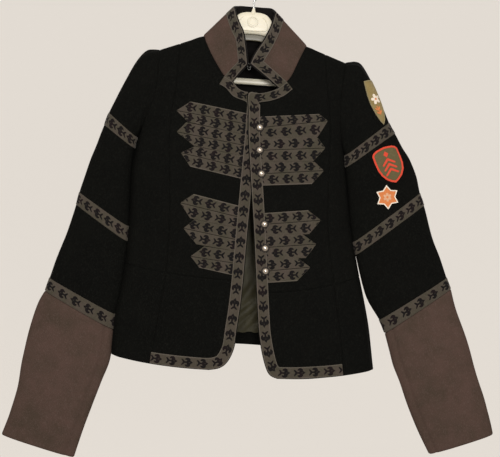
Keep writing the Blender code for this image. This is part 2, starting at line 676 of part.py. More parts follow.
def add_sleeves(materials, ring_of_side):
    """The sleeves, their cuffs and the ribbon bands round both; returns the sleeves' grids."""
    grids = {}
    for side, name in SIDE_NAMES.items():
        points, normals = sleeve_grid(side, SLEEVE_RINGS[side], ring_of_side[side])
        grids[side] = (points, normals)
        add_wall(f"{name}_sleeve", points, normals, materials["black_wool"], closed=True)
        cuff, cuff_normals = sleeve_grid(side, CUFF_RINGS[side])
        add_wall(f"{name}_cuff", cuff, cuff_normals, materials["mauve_wool"], closed=True)
        for band, first in BAND_RINGS.items():
            rows = slice(first, first + 2)
            add_wall(f"{name}_{band}_band", points[rows], normals[rows], materials["ribbon"],
                     LAY_GAP + RIBBON, RIBBON, closed=True)
    return grids


def collar_station_tops(side, seam):
    """Top edge points of one half of the collar, for the stations along its neck seam."""
    steps = np.linalg.norm(np.diff(seam, axis=0), axis=1)
    parts = np.concatenate([[0.0], np.cumsum(steps)]) / steps.sum()
    table = np.array(COLLAR_TOPS[side])
    tops = np.stack([side * np.interp(parts, table[:, 0], table[:, 1]),
                     -np.interp(parts, table[:, 0], table[:, 2]),
                     np.interp(parts, table[:, 0], table[:, 3])], axis=1)
    return tops


def collar_grid(fronts, back):
    """The collar's outer surface: a column for each point of the body's own neck edge."""
    seams = {}
    tops = {}
    seam_column = len(BACK_FRACTIONS) - 1 - BACK_FRACTIONS.index(BACK_NECK_FRACTION)
    middle = len(BACK_FRACTIONS) - 1
    for side in (RIGHT, LEFT):
        end = row_of(side, "collar end")
        edge = fronts[side][0][:end + 1, 0][::-1]
        step = 1 if side == RIGHT else -1
        first = seam_column if side == RIGHT else -1 - seam_column + back.shape[1]
        neck = back[0, [first + step * k for k in range(1, middle - seam_column + 1)]]
        seam = np.concatenate([edge, neck])
        seams[side] = seam
        tops[side] = collar_station_tops(side, seam)
    seam = np.concatenate([seams[RIGHT], seams[LEFT][-2::-1]])
    top = np.concatenate([tops[RIGHT], tops[LEFT][-2::-1]])
    height = np.linalg.norm(top - seam, axis=1)
    trim = 1 - COLLAR_TRIM_WIDTH / height
    foot = COLLAR_LIFT / height
    outward = unit(seam * np.array([1.0, 1.0, 0.0]))
    shares = [foot + (trim - foot) * part for part in COLLAR_WALL_PARTS]
    shares += [trim, (1 + trim) / 2, np.ones_like(trim)]
    points = np.array([seam + (top - seam) * share[:, None]
                       + outward * (COLLAR_BULGE * np.sin(np.pi * share))[:, None]
                       for share in shares])
    return points, grid_normals(points, points * np.array([0.0, 0.0, 1.0]))


def add_collar(materials, fronts, back):
    points, normals = collar_grid(fronts, back)
    add_wall("collar", points, normals, materials["mauve_wool"], thickness=COLLAR_WALL)
    add_wall("collar_facing", points, normals, materials["dark_facing"],
             -COLLAR_WALL - LAY_GAP, THIN_CLOTH)
    cells = np.zeros((points.shape[0] - 1, points.shape[1] - 1), bool)
    cells[-2:] = True
    cells[:, 0] = True
    cells[:, -1] = True
    ribbon = points.copy()
    ribbon[0] += unit(points[1] - points[0]) * COLLAR_TRIM_LIFT
    add_wall("collar_trim", ribbon, normals, materials["ribbon"], LAY_GAP + RIBBON, RIBBON,
             cells=cells)


def offset_line(line, widths):
    """An open line in the XZ plane moved to its left by the given widths, with mitred corners."""
    directions = unit(np.diff(line, axis=0))
    before = np.concatenate([directions[:1], directions])
    after = np.concatenate([directions, directions[-1:]])
    middle = unit(before + after)
    left = np.stack([-middle[:, 1], middle[:, 0]], axis=1)
    mitre = np.maximum(np.sum(middle * after, axis=1), 0.5)
    return line + left * (widths / mitre)[:, None]


def prism_mesh(name, outline, near, far, frame):
    """A prism over an outline, drawn in a frame's XY plane and drawn out along its Z."""
    count = len(outline)
    points = [(x, y, near) for x, y in outline] + [(x, y, far) for x, y in outline]
    faces = [tuple(range(count)), tuple(range(2 * count - 1, count - 1, -1))]
    for index in range(count):
        following = (index + 1) % count
        faces.append((index, following, following + count, index + count))
    mesh = mesh_from(name, points, faces, smooth=False)
    mesh.transform(frame)
    return mesh


def combine(thing, guide, operation):
    cut = thing.modifiers.new(guide.name, "BOOLEAN")
    cut.operation = operation
    cut.solver = "EXACT"
    cut.object = guide


def intersect(thing, guide):
    combine(thing, guide, "INTERSECT")


def add_skin(name, points, normals, thickness, closed=False):
    """The thin layer over a panel that everything sewn onto it is cut from."""
    outer = points + normals * (LAY_GAP + thickness)
    inner = points + normals * LAY_GAP
    return add_guide(name, wall_mesh(name, outer, inner, closed))


def front_trim_outline(side, points):
    """The ribbon's outline: along the keyhole, down the front edge and along the hem."""
    start = row_of(side, "mitre")
    corner = row_of(side, "front top")
    edge = np.concatenate([points[start:, 0], points[-1, 1:CENTRE_PANEL_COLUMNS + 1]])
    line = edge[:, [0, 2]]
    widths = np.full(len(line), RIBBON_WIDTH)
    widths[:corner - start] = NECK_RIBBON_WIDTH
    inner = offset_line(line, side * widths)
    outer = offset_line(line, -side * np.full(len(line), BAND_OVERHANG))
    outer[0] = line[0]
    return np.concatenate([outer, inner[::-1]])


def frog_outline(side, frog, edge):
    """A double ribbon from the trim out to its pointed end."""
    trim_top, trim_low, tip, tip_z, top_corner, top_z, low_corner, low_z = frog
    heights = edge[:, 1]
    top_x = np.interp(-trim_top, -heights, edge[:, 0])
    low_x = np.interp(-trim_low, -heights, edge[:, 0])
    gap = FROG_SEAM / 2
    return [(top_x + side * gap, trim_top - gap), (side * top_corner, top_z - gap),
            (side * tip, tip_z), (side * low_corner, low_z + gap),
            (low_x + side * gap, trim_low + gap)]


def add_front_ribbons(materials, grids):
    """The ribbon along each front's edges and its six frogs, cut from a layer over the front."""
    for side, (points, normals) in grids.items():
        name = SIDE_NAMES[side]
        skin = add_skin(f"{name}_front_skin", points, normals, RIBBON)
        line = points[row_of(side, "front top"):row_of(side, "hip") + 1, 0][:, [0, 2]]
        edge = offset_line(line, side * np.full(len(line), TRIM_INNER))
        outlines = {"front_trim": front_trim_outline(side, points)}
        for number, frog in enumerate(FROGS[side], 1):
            outlines[f"frog_{number}"] = frog_outline(side, frog, edge)
        for piece, outline in outlines.items():
            mesh = prism_mesh(piece, outline, *CUT_RANGE, FRONT_VIEW)
            intersect(add_object(f"{name}_{piece}", mesh, materials["ribbon"]), skin)


def surface_point(points, normals, row, column):
    """The place and normal on a grid between its rows and columns."""
    low_row, low_column = int(row), int(column)
    down, across = row - low_row, column - low_column
    place = np.zeros(3)
    normal = np.zeros(3)
    for step_row, share_row in ((0, 1 - down), (1, down)):
        for step_column, share_column in ((0, 1 - across), (1, across)):
            share = share_row * share_column
            place += points[low_row + step_row, low_column + step_column] * share
            normal += normals[low_row + step_row, low_column + step_column] * share
    return place, unit(normal)


def facing_frame(place, normal, up):
    """A frame at a place in millimetres: X to the right, Y up along the cloth, Z outwards."""
    outwards = Vector(normal).normalized()
    right = Vector(up).cross(outwards).normalized()
    upwards = outwards.cross(right)
    frame = Matrix((right, upwards, outwards)).transposed().to_4x4()
    frame.translation = Vector(place) * MM
    return frame


def patch_outlines():
    star = []
    for corner in range(2 * STAR_POINTS):
        radius = STAR_RADII[corner % 2]
        angle = math.pi * corner / STAR_POINTS + STAR_TURN
        star.append((radius * math.sin(angle), radius * math.cos(angle)))
    return {"pennant_patch": PENNANT, "shield_patch": SHIELD, "star_patch": star}


def add_patches(materials, points, normals):
    """Patches sewn on the left sleeve, cut from a layer over the sleeve's own points."""
    skin = add_skin("left_sleeve_skin", points, normals, PATCH_THICKNESS, closed=True)
    for name, outline in patch_outlines().items():
        row, column = PATCH_PLACES[name]
        place, normal = surface_point(points, normals, row, column)
        above, _ = surface_point(points, normals, row - 1, column)
        frame = facing_frame(place, normal, above - place)
        mesh = prism_mesh(name, outline, -PATCH_REACH, PATCH_REACH, frame)
        intersect(add_object(name, mesh, materials[name]), skin)


def turned_mesh(name, profile, sides):
    """A solid of revolution about Z from (radius, height) points that start and end on it."""
    points = []
    rings = []
    for radius, height in profile:
        if radius == 0.0:
            rings.append([len(points)] * sides)
            points.append((0.0, 0.0, height))
            continue
        rings.append(list(range(len(points), len(points) + sides)))
        for index in range(sides):
            angle = 2 * math.pi * index / sides
            points.append((radius * math.cos(angle), radius * math.sin(angle), height))
    faces = []
    for low, high in zip(rings, rings[1:]):
        for index in range(sides):
            following = (index + 1) % sides
            face = (low[index], low[following], high[following], high[index])
            faces.append(tuple(dict.fromkeys(face)))
    return mesh_from(name, points, faces)


def front_place(points, normals, across, height):
    """Where a line along Y through (across, height) meets the faces of a front."""
    rows, columns = points.shape[:2]
    for row in range(rows - 1):
        for column in range(columns - 1):
            a, b, c, d = (points[corner] for corner in cell_corners(row, column, columns + 1))
            for first, second, third in ((a, b, c), (a, c, d)):
                base = np.array([second[[0, 2]] - first[[0, 2]], third[[0, 2]] - first[[0, 2]]]).T
                if abs(np.linalg.det(base)) < 1e-9:
                    continue
                share = np.linalg.solve(base, np.array([across, height]) - first[[0, 2]])
                if min(share) >= -1e-6 and sum(share) <= 1 + 1e-6:
                    place = first + share[0] * (second - first) + share[1] * (third - first)
                    return place, normals[row, column]
    raise ValueError("no face of the front lies there")


def add_buttons(materials, points, normals):
    mesh = turned_mesh("button", BUTTON_PROFILE, BUTTON_SIDES)
    mesh.materials.append(materials["pewter"])
    for number, (across, height) in enumerate(BUTTONS, 1):
        place, normal = front_place(points, normals, across, height)
        seat = place + normal * (LAY_GAP + RIBBON + BUTTON_LIFT)
        button = add_object(f"button_{number}", mesh)
        button.matrix_world = facing_frame(seat, normal, (0.0, 0.0, 1.0))


def add_wire(name, route, radius, material):
    """A round wire along a route of points in millimetres."""
    curve = bpy.data.curves.new(name, "CURVE")
    curve.dimensions = "3D"
    curve.bevel_depth = radius * MM
    curve.bevel_resolution = 1
    curve.use_fill_caps = True
    spline = curve.splines.new("POLY")
    spline.points.add(len(route) - 1)
    for point, place in zip(spline.points, route):
        point.co = (*(Vector(place) * MM), 1.0)
    add_object(name, curve, material)


def hanger_ring():
    """Sections round the hanger's window: both arms and the bar below them."""
    right = np.array(HANGER_SECTIONS)
    left = right[-2:0:-1] * np.array([-1.0, 1.0, -1.0, 1.0, 1.0])
    sections = np.concatenate([right, left])
    angles = np.arange(HANGER_SECTION_SIDES) * 2 * math.pi / HANGER_SECTION_SIDES
    wide, thick = squared_circle(angles, HANGER_SQUARENESS)
    rings = []
    for outer, outer_z, window, window_z, half_depth in sections:
        middle = np.array([(outer + window) / 2, 0.0, (outer_z + window_z) / 2])
        reach = np.array([(outer - window) / 2, 0.0, (outer_z - window_z) / 2])
        ring = middle + wide[:, None] * reach
        ring[:, 1] = thick * half_depth
        rings.append(ring)
    return np.array(rings)


def add_hanger(materials):
    """The moulded hanger with the cone at its neck, and the wire hook that stands in it."""
    rings = hanger_ring()
    count, sides = rings.shape[:2]
    faces = []
    for ring in range(count):
        following = (ring + 1) % count
        for side in range(sides):
            beside = (side + 1) % sides
            faces.append((ring * sides + side, ring * sides + beside,
                          following * sides + beside, following * sides + side))
    mesh = mesh_from("hanger_body", rings.reshape(-1, 3), faces)
    body = add_object("hanger_body", mesh, materials["ivory_plastic"])
    cone = add_guide("hanger_neck", turned_mesh("hanger_neck", NECK_PROFILE, NECK_SIDES))
    combine(body, cone, "UNION")
    pivot = Vector((0.0, 0.0, HANGER_PIVOT_Z)) * MM
    tilt = Matrix.Translation(pivot) @ Matrix.Rotation(HANGER_TILT, 4, "Y")
    body.matrix_world = tilt @ Matrix.Translation(-pivot)
    cone.matrix_world = body.matrix_world.copy()
    radius = HOOK_RADIUS + HOOK_WIRE
    route = [(x, 0.0, z) for x, z in HOOK_ROUTE_START]
    for angle in np.radians(np.linspace(*HOOK_ANGLES, HOOK_STEPS + 1)):
        route.append((radius * math.cos(angle), 0.0, radius * math.sin(angle) - HOOK_RADIUS))
    add_wire("hanger_hook", route, HOOK_WIRE, materials["steel_wire"])


def main():
    clear_scene()
    materials = make_materials()
    fronts = {}
    for side in SIDE_NAMES:
        points = front_grid(side)
        fronts[side] = (points, front_normals(side, points))
    back = back_grid()
    back_facing = back_normals(back)
    add_fronts(materials, fronts)
    add_back(materials, back, back_facing)
    rings = {RIGHT: armhole_ring(fronts[RIGHT][0], back, 0, RIGHT),
             LEFT: armhole_ring(fronts[LEFT][0], back, -1, LEFT)}
    sleeves = add_sleeves(materials, rings)
    add_collar(materials, fronts, back)
    add_front_ribbons(materials, fronts)
    add_buttons(materials, *fronts[LEFT])
    add_patches(materials, *sleeves[LEFT])
    for name, route in CLASP_ROUTES.items():
        add_wire(name, route, CLASP_WIRE, materials["steel_wire"])
    add_hanger(materials)


main()
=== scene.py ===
"""Looks of the military-style jacket on its hanger: cloth, ribbons, buttons, patches, light.

The cloth pieces are drawn from the part's own levels and rings, in millimetres, and stand in
for its nodes. +Z is up, -Y is the front, and the wearer's right side is at -X. The tables of
the body, collar, sleeves, frogs, patches and hanger come first, then how each is drawn.
"""
import math

import bmesh
import bpy
import numpy as np
from mathutils import Matrix, Vector
from mathutils.bvhtree import BVHTree

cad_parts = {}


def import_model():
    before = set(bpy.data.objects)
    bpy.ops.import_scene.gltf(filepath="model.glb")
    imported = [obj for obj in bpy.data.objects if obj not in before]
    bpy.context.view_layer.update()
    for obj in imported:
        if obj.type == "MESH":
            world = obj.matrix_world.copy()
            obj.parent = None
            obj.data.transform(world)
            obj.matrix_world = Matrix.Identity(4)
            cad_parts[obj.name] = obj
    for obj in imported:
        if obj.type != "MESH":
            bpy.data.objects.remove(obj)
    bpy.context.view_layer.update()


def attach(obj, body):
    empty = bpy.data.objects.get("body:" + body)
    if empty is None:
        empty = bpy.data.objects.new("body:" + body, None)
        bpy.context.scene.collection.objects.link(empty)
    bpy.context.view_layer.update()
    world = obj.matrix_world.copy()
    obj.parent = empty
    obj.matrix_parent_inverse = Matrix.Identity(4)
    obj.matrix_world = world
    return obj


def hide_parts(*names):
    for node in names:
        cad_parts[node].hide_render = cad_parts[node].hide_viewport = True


MM = 0.001
WOOL = 2.0
COLLAR_WALL = 3.0
RIBBON_WIDTH = 21.0
NECK_RIBBON_WIDTH = 17.0

# Plan section of the body: a flat oval, so the cloth turns round at the side seams. Normals
# turn away from a plane inside it that is narrower than the body by the inside share.
OVAL_POWER = 2.4
SIDE_ROUNDNESS = 1 / OVAL_POWER
INSIDE_SHARE = 0.3
ARMHOLE_DEPTH = 15.0
FRONT_LAP = 4.9
FRONT_LAP_FLAT = 32.0
FRONT_LAP_WIDTH = 85.0
FRONT_LAP_FROM_DEPTH = 30.0
FRONT_LAP_FULL_DEPTH = 38.0

RIGHT = -1
LEFT = 1
SIDE_NAMES = {RIGHT: "right", LEFT: "left"}

# Levels of the fronts, from the shoulder seam down to the hem, alike on both sides: the depth at
# the inner and the outer edge, the bend, and the mesh rows to the next level. The bend is 1 where
# a level runs straight and 2 where it curves up to the side.
LEVELS = (
    ("shoulder", 0.0, 0.0, 1, 1),
    ("ridge", 6.5, 7.5, 1, 1),
    ("slope", 10.5, 13.0, 1, 1),
    ("collar side", 17.0, 18.5, 1, 2),
    ("collar front", 29.0, 22.0, 1, 1),
    ("mitre", 36.5, 23.5, 1, 1),
    ("collar end", 38.5, 24.0, 1, 1),
    ("keyhole", 40.0, 23.5, 1, 1),
    ("keyhole low", 41.0, 22.0, 1, 1),
    ("front top", 42.0, 18.5, 1, 1),
    ("chest", 43.0, 12.0, 1, 1),
    ("underarm", 43.5, 0.0, 1, 2),
    ("bust", 43.5, 0.0, 1.2, 1),
    ("midriff", 43.0, 0.0, 1.5, 2),
    ("waist", 42.0, 0.0, 2, 1),
    ("peplum", 41.0, 0.0, 2, 1),
    ("hip", 40.0, 0.0, 2, 1),
    ("corner top", 39.0, 0.0, 2, 1),
    ("corner", 38.0, 0.0, 2, 1),
    ("corner low", 38.0, 0.0, 2, 1),
    ("hem", 38.0, 0.0, 2, 1),
)

# One row for each level: the inner edge (neckline, front edge, hem corner), the princess seam
# and the outer edge (armhole, side seam)
FRONT_EDGES = {
    RIGHT: (
        (84.8, -110.0, 128.0, 164.0, -139.0),
        (84.5, -113.0, 128.0, 164.0, -142.0),
        (82.0, -120.0, 128.1, 164.0, -149.5),
        (73.6, -138.5, 128.2, 163.7, -166.5),
        (58.5, -165.0, 128.6, 164.3, -189.0),
        (45.0, -185.0, 129.5, 165.5, -206.0),
        (30.8, -193.0, 130.5, 167.5, -218.0),
        (18.6, -205.7, 132.0, 171.0, -231.0),
        (5.2, -210.6, 134.0, 177.0, -245.0),
        (-17.0, -213.0, 136.0, 185.0, -262.0),
        (-17.0, -245.0, 137.0, 190.5, -277.5),
        (-16.0, -285.0, 137.0, 193.5, -288.0),
        (-12.2, -365.0, 133.5, 204.3, -360.0),
        (-8.5, -440.0, 130.0, 203.9, -432.0),
        (-4.0, -540.0, 132.0, 207.8, -519.5),
        (-1.0, -584.0, 138.0, 214.3, -568.0),
        (3.5, -625.0, 144.0, 222.0, -612.0),
        (7.0, -657.0, 148.5, 224.0, -651.0),
        (17.0, -681.0, 151.0, 224.2, -669.0),
        (31.0, -693.0, 152.3, 224.2, -677.5),
        (50.5, -697.0, 153.0, 224.2, -681.5),
    ),
    LEFT: (
        (94.8, -120.0, 130.7, 167.5, -147.5),
        (94.5, -123.0, 130.8, 167.5, -150.5),
        (91.5, -130.0, 131.0, 166.7, -159.5),
        (84.1, -147.0, 132.0, 165.5, -176.0),
        (71.4, -177.4, 134.5, 164.3, -198.5),
        (62.5, -190.5, 137.0, 163.6, -217.0),
        (49.8, -201.4, 138.5, 163.0, -230.0),
        (32.4, -209.0, 140.5, 163.0, -243.0),
        (14.9, -212.7, 142.0, 163.5, -257.0),
        (-3.0, -212.5, 143.5, 165.5, -275.0),
        (-1.8, -245.0, 144.5, 168.5, -292.5),
        (0.0, -285.0, 145.0, 171.0, -305.0),
        (8.0, -365.0, 145.0, 180.0, -370.0),
        (16.5, -445.0, 147.0, 189.6, -440.0),
        (26.8, -558.0, 162.0, 208.0, -525.0),
        (30.0, -592.0, 169.0, 218.7, -568.0),
        (34.0, -628.0, 176.0, 228.4, -612.0),
        (41.0, -662.0, 181.5, 234.7, -652.0),
        (49.0, -688.0, 183.5, 237.8, -673.0),
        (57.0, -701.0, 184.5, 239.4, -683.0),
        (70.0, -706.5, 185.0, 240.0, -687.5),
    ),
}
CENTRE_PANEL_COLUMNS = 6
SIDE_PANEL_FRACTIONS = (0.35, 0.65, 0.88, 1.0)

# Back: its levels end at the fronts' outer edges, and its middle has heights and depths of its own
BACK_FRACTIONS = (0.0, 0.18, 0.36, 0.53, 0.74, 0.92, 1.0)
BACK_NECK_FRACTION = 0.53
BACK_NECK_Z = -118.0
BACK_UNDERARM_Z = -292.0
BACK_WAIST_Z = -528.0
BACK_HEM_Z = -656.0
BACK_NECK_ROWS = 6
BACK_LEVEL_BEND = 1.4
BACK_DEPTHS = ((-118.0, 29.0), (-180.0, 33.0), (-300.0, 32.0), (-528.0, 26.0), (-656.0, 31.0))
LINING_ROWS = (10, -2.8)
LINING_COLUMNS = (2, -2)
NECK_FACING_ROWS = 10
BACK_PANELS = ("right_side", "right_centre", "left_centre", "left_side")
BACK_SPLITS = (0, 3, 6, 9, 12)

# One row for each collar station of a half, from the front tip to the middle of the back: the
# part of the way along the neck seam, then the collar's top edge.
COLLAR_TOPS = {
    RIGHT: (
        (0.00, 7.0, 58.0, -166.0),
        (0.08, 9.3, 51.0, -147.0),
        (0.20, 16.0, 29.0, -108.0),
        (0.36, 29.0, 14.0, -78.0),
        (0.53, 35.5, -3.0, -55.5),
        (0.70, 29.0, -18.0, -52.5),
        (1.00, -3.0, -23.0, -52.5),
    ),
    LEFT: (
        (0.00, -0.5, 58.0, -164.5),
        (0.08, 6.0, 51.0, -147.5),
        (0.20, 25.0, 29.0, -112.0),
        (0.36, 35.0, 14.0, -85.0),
        (0.53, 40.0, -3.0, -60.0),
        (0.70, 33.5, -18.0, -54.5),
        (1.00, 3.0, -23.0, -52.5),
    ),
}
COLLAR_WALL_PARTS = (0.0, 0.35, 0.7)
COLLAR_BULGE = 1.0
COLLAR_LIFT = 0.3
COLLAR_TRIM_WIDTH = 19.0

# One row for each ring of a sleeve or cuff: its outer fold and its inner fold. Half the thickness
# of each ring is alike on both sides, and the sleeve's first rings bow towards the body and are
# gathered: rows of (bow, gather).
SLEEVE_RINGS = {
    RIGHT: (
        (175.0, -140.0, 194.3, -289.2),
        (186.0, -143.0, 194.8, -290.3),
        (197.5, -154.0, 195.4, -291.4),
        (213.0, -177.5, 196.0, -292.5),
        (229.0, -209.5, 196.7, -293.8),
        (248.0, -254.5, 197.6, -296.0),
        (255.5, -276.0, 201.5, -315.5),
        (264.5, -301.5, 205.0, -342.0),
        (277.0, -337.5, 206.3, -382.5),
        (286.5, -368.0, 206.1, -418.0),
        (294.5, -397.0, 206.4, -453.5),
        (299.5, -418.5, 207.5, -480.0),
        (313.0, -469.0, 210.3, -523.0),
        (328.5, -512.0, 215.8, -567.5),
        (339.5, -551.0, 223.3, -609.5),
        (346.5, -573.5, 225.7, -637.0),
    ),
    LEFT: (
        (174.0, -146.0, 171.6, -306.2),
        (183.5, -144.5, 172.0, -307.0),
        (194.5, -148.5, 172.4, -307.8),
        (206.5, -165.5, 173.0, -308.6),
        (221.5, -193.0, 173.7, -309.6),
        (248.5, -250.0, 174.6, -312.0),
        (260.0, -268.0, 176.8, -333.0),
        (275.5, -293.5, 181.0, -364.5),
        (289.0, -314.0, 185.2, -396.5),
        (301.5, -342.0, 190.2, -431.5),
        (309.5, -371.5, 196.4, -463.5),
        (317.5, -392.5, 201.4, -486.0),
        (334.0, -446.5, 207.8, -516.0),
        (350.0, -483.0, 223.0, -561.5),
        (363.0, -519.0, 247.0, -599.0),
        (371.0, -538.0, 257.5, -621.5),
    ),
}
CUFF_RINGS = {
    RIGHT: (
        (346.6, -573.9, 225.8, -637.4),
        (360.0, -599.0, 227.3, -665.5),
        (372.5, -642.0, 230.0, -699.5),
        (381.5, -695.5, 242.0, -737.5),
        (389.0, -749.0, 256.0, -779.0),
        (401.0, -792.5, 270.0, -822.0),
        (413.0, -832.0, 282.5, -867.0),
    ),
    LEFT: (
        (371.2, -538.35, 257.7, -621.85),
        (380.0, -565.0, 267.0, -652.0),
        (396.5, -607.0, 275.5, -680.0),
        (412.5, -649.0, 288.0, -708.0),
        (428.0, -696.0, 303.0, -746.0),
        (445.0, -743.5, 323.0, -790.0),
        (458.0, -792.5, 346.0, -833.0),
    ),
}
SLEEVE_DEPTHS = (26.0, 28.5, 30.0, 29.5, 28.0, 26.0, 25.0, 24.0, 22.5, 21.0, 19.5, 19.0, 18.0,
                 17.5, 17.0, 16.5)
CUFF_DEPTHS = (16.5, 16.0, 15.5, 15.0, 14.5, 14.0, 13.5)
SLEEVE_GATHERS = ((11.0, 1.2), (9.0, 1.6), (7.0, 1.3), (4.5, 0.9), (2.0, 0.4))
SLEEVE_START_GAP = 0.05
SLEEVE_SQUARENESS = 0.83
EVEN_RING = 8

# One row for each frog, from the top: the heights of its upper and lower edge at the trim, then
# how far across and how high its pointed tip, its upper corner and its lower corner lie.
FROGS = {
    RIGHT: (
        (-248.5, -286.0, 125.5, -248.5, 102.0, -232.0, 105.5, -267.5),
        (-286.0, -323.0, 123.5, -286.0, 108.0, -268.5, 92.5, -309.0),
        (-323.0, -362.5, 114.5, -322.0, 91.5, -310.0, 97.5, -345.5),
        (-409.0, -448.0, 111.5, -409.0, 89.0, -392.5, 93.5, -435.0),
        (-448.0, -488.0, 104.0, -453.0, 86.0, -436.6, 80.5, -479.5),
        (-488.0, -530.0, 89.5, -501.0, 67.0, -482.5, 73.5, -520.0),
    ),
    LEFT: (
        (-254.0, -292.5, 138.0, -254.0, 122.0, -243.0, 121.5, -282.9),
        (-292.5, -332.0, 135.5, -302.0, 119.5, -283.1, 114.5, -327.0),
        (-332.0, -373.0, 134.5, -341.5, 118.0, -327.1, 114.5, -366.0),
        (-420.0, -459.0, 133.0, -428.0, 110.0, -411.5, 114.0, -453.2),
        (-459.0, -499.5, 127.0, -470.0, 103.0, -453.9, 110.0, -494.9),
        (-499.5, -540.5, 118.5, -510.5, 96.0, -495.3, 96.5, -535.5),
    ),
}
FROG_SEAM = 0.12
TRIM_INNER = 21.6

# Buttons on the left front's trim: across and height of each
BUTTONS = ((20.0, -273.0), (21.5, -312.0), (26.5, -352.5), (35.5, -439.5), (38.5, -481.0),
           (41.0, -520.5))

# Patches on the left sleeve: ring and column where the middle lies, and the outline (right, up)
SHIELD = ((-24.0, 22.0), (-20.5, 26.5), (-13.5, 29.5), (0.5, 31.5), (14.5, 29.5), (21.5, 26.5),
          (25.0, 22.0), (25.5, 8.0), (25.0, -5.0), (22.0, -16.0), (15.5, -25.0), (7.5, -31.0),
          (0.5, -34.5), (-6.5, -31.0), (-13.5, -25.0), (-19.5, -16.0), (-22.9, -5.0),
          (-24.0, 8.0))
PENNANT = ((-3.0, 38.0), (22.5, 33.0), (19.8, 14.0), (15.0, -6.0), (7.5, -26.0), (0.5, -39.0),
           (-6.5, -45.5), (-9.5, -38.0), (-12.3, -22.0), (-13.0, -4.0), (-10.5, 14.0))
STAR_POINTS = 6
STAR_RADII = (21.5, 14.0)
STAR_TURN = math.radians(9.0)
PATCH_PLACES = {"pennant_patch": (5.15, 2.6), "shield_patch": (8.35, 4.8),
                "star_patch": (9.95, 5.8)}

# Hanger: its outline and its window as (x, z, x, z, half depth), from the middle of the top,
# round the tip and along the bar, and the route of its hook
HANGER_SECTIONS = (
    (0.0, -65.0, 0.0, -104.0, 5.5),
    (16.0, -66.0, 14.0, -104.5, 5.5),
    (28.0, -72.0, 25.0, -107.0, 5.5),
    (41.0, -90.0, 39.0, -113.5, 5.5),
    (60.0, -109.5, 58.0, -124.5, 5.5),
    (80.0, -120.8, 76.0, -133.5, 5.5),
    (100.0, -125.2, 95.0, -140.0, 5.5),
    (125.0, -131.8, 119.0, -148.0, 5.5),
    (147.0, -141.0, 135.5, -157.5, 5.5),
    (154.5, -150.0, 139.5, -162.5, 5.0),
    (153.0, -165.0, 138.5, -168.0, 4.5),
    (140.0, -181.0, 131.0, -174.0, 4.0),
    (115.0, -189.5, 112.0, -179.0, 4.0),
    (60.0, -193.0, 60.0, -182.0, 4.0),
    (0.0, -193.5, 0.0, -182.5, 4.0),
)
HANGER_TILT = math.radians(1.5)
HANGER_PIVOT_Z = -58.0
HANGER_SQUARENESS = 0.7
HOOK_WIRE = 1.8
HOOK_RADIUS = 19.0
HOOK_ROUTE_START = ((0.0, -60.0), (0.0, -51.5), (0.0, -46.0), (2.5, -42.0), (9.0, -38.0))
HOOK_ANGLES = (math.radians(-52.0), math.radians(205.0))
HOOK_STEPS = 16

# Hook and eye behind the collar's tips: the eye's loop hangs from the right tip, and the hook
# comes from the left one and bends back through it.
CLASP_WIRE = 0.6
CLASP_ROUTES = {
    "clasp_eye": ((-7.7, -49.2, -163.0), (-5.9, -51.5, -166.4), (-5.6, -51.5, -170.0),
                  (-5.0, -51.8, -173.4), (-3.2, -52.0, -174.6), (-1.4, -51.8, -173.4),
                  (-0.7, -51.5, -170.0), (-1.0, -51.0, -166.5), (-3.5, -50.0, -163.8),
                  (-7.2, -48.4, -161.4)),
    "clasp_hook": ((3.9, -49.9, -162.3), (2.2, -51.5, -166.3), (0.5, -52.6, -169.5),
                   (-1.5, -53.6, -170.5), (-3.2, -53.0, -170.6), (-3.2, -51.5, -170.4),
                   (-3.2, -50.2, -169.4), (-3.2, -49.4, -167.6)),
}

# How finely the cloth is drawn: points for each cell of the part's own grid, and where the
# extra ones lie beside a seam or an edge, in cells
CLOTH_STEPS = 7
SLEEVE_STEPS_ROUND = 5
EDGE_STEPS = (0.012, 0.03, 0.06, 0.1)

# Edges of the cloth: how deep and how far from the edge a seam draws in, how round the outer
# and the inner face turn there, and the least share of its width by length that a cut fills
SEAM_DIP = 0.75
SEAM_REACH = 1.5
EDGE_ROUND = 0.7
INNER_ROUND = 0.6
LEAST_AREA_SHARE = 0.31

# Meshes: millimetres to a unit of the UV map, the angles from which an edge is sharp, and the
# turns at which the rounded ends of a tube have their rings
UV_UNIT = 100.0
CLOTH_SHARP = math.radians(55.0)
APPLIED_SHARP = math.radians(50.0)
TURNED_SHARP = math.radians(40.0)
CAP_ANGLES = tuple(math.radians(angle) for angle in (80.0, 55.0, 28.0))

# Noise: what sets one seed's waves apart from the next, and what scatters its cells
NOISE_SHIFT = 17.3
NOISE_PRIMES = (73856093, 19349663, 83492791)
NOISE_FACTOR = 2654435761
NOISE_RANGE = 2 ** 32

# Soft waves of the cloth: their sizes along X, Y and Z, and their height; the height of the
# fronts' fine waves and of the back's as a share of the fronts' own
FRONT_WAVES = (58.0, 40.0, 170.0, 1.5)
SLEEVE_WAVES = (60.0, 45.0, 75.0, 1.3)
CUFF_WAVES = (48.0, 40.0, 110.0, 1.5)
COLLAR_WAVES = (34.0, 34.0, 24.0, 0.6)
LINING_WAVES = (32.0, 30.0, 70.0, 2.2)
FINE_SHARE = 0.35
BACK_SHARE = 0.8

# Lining: how its waves lean, and its seam across the waist (height, depth, half width)
LINING_SLANT = ((1.0, 0.0, 0.55), (0.0, 1.0, 0.0), (-0.4, 0.0, 1.0))
LINING_SEAM = (-500.0, 1.4, 1.8)

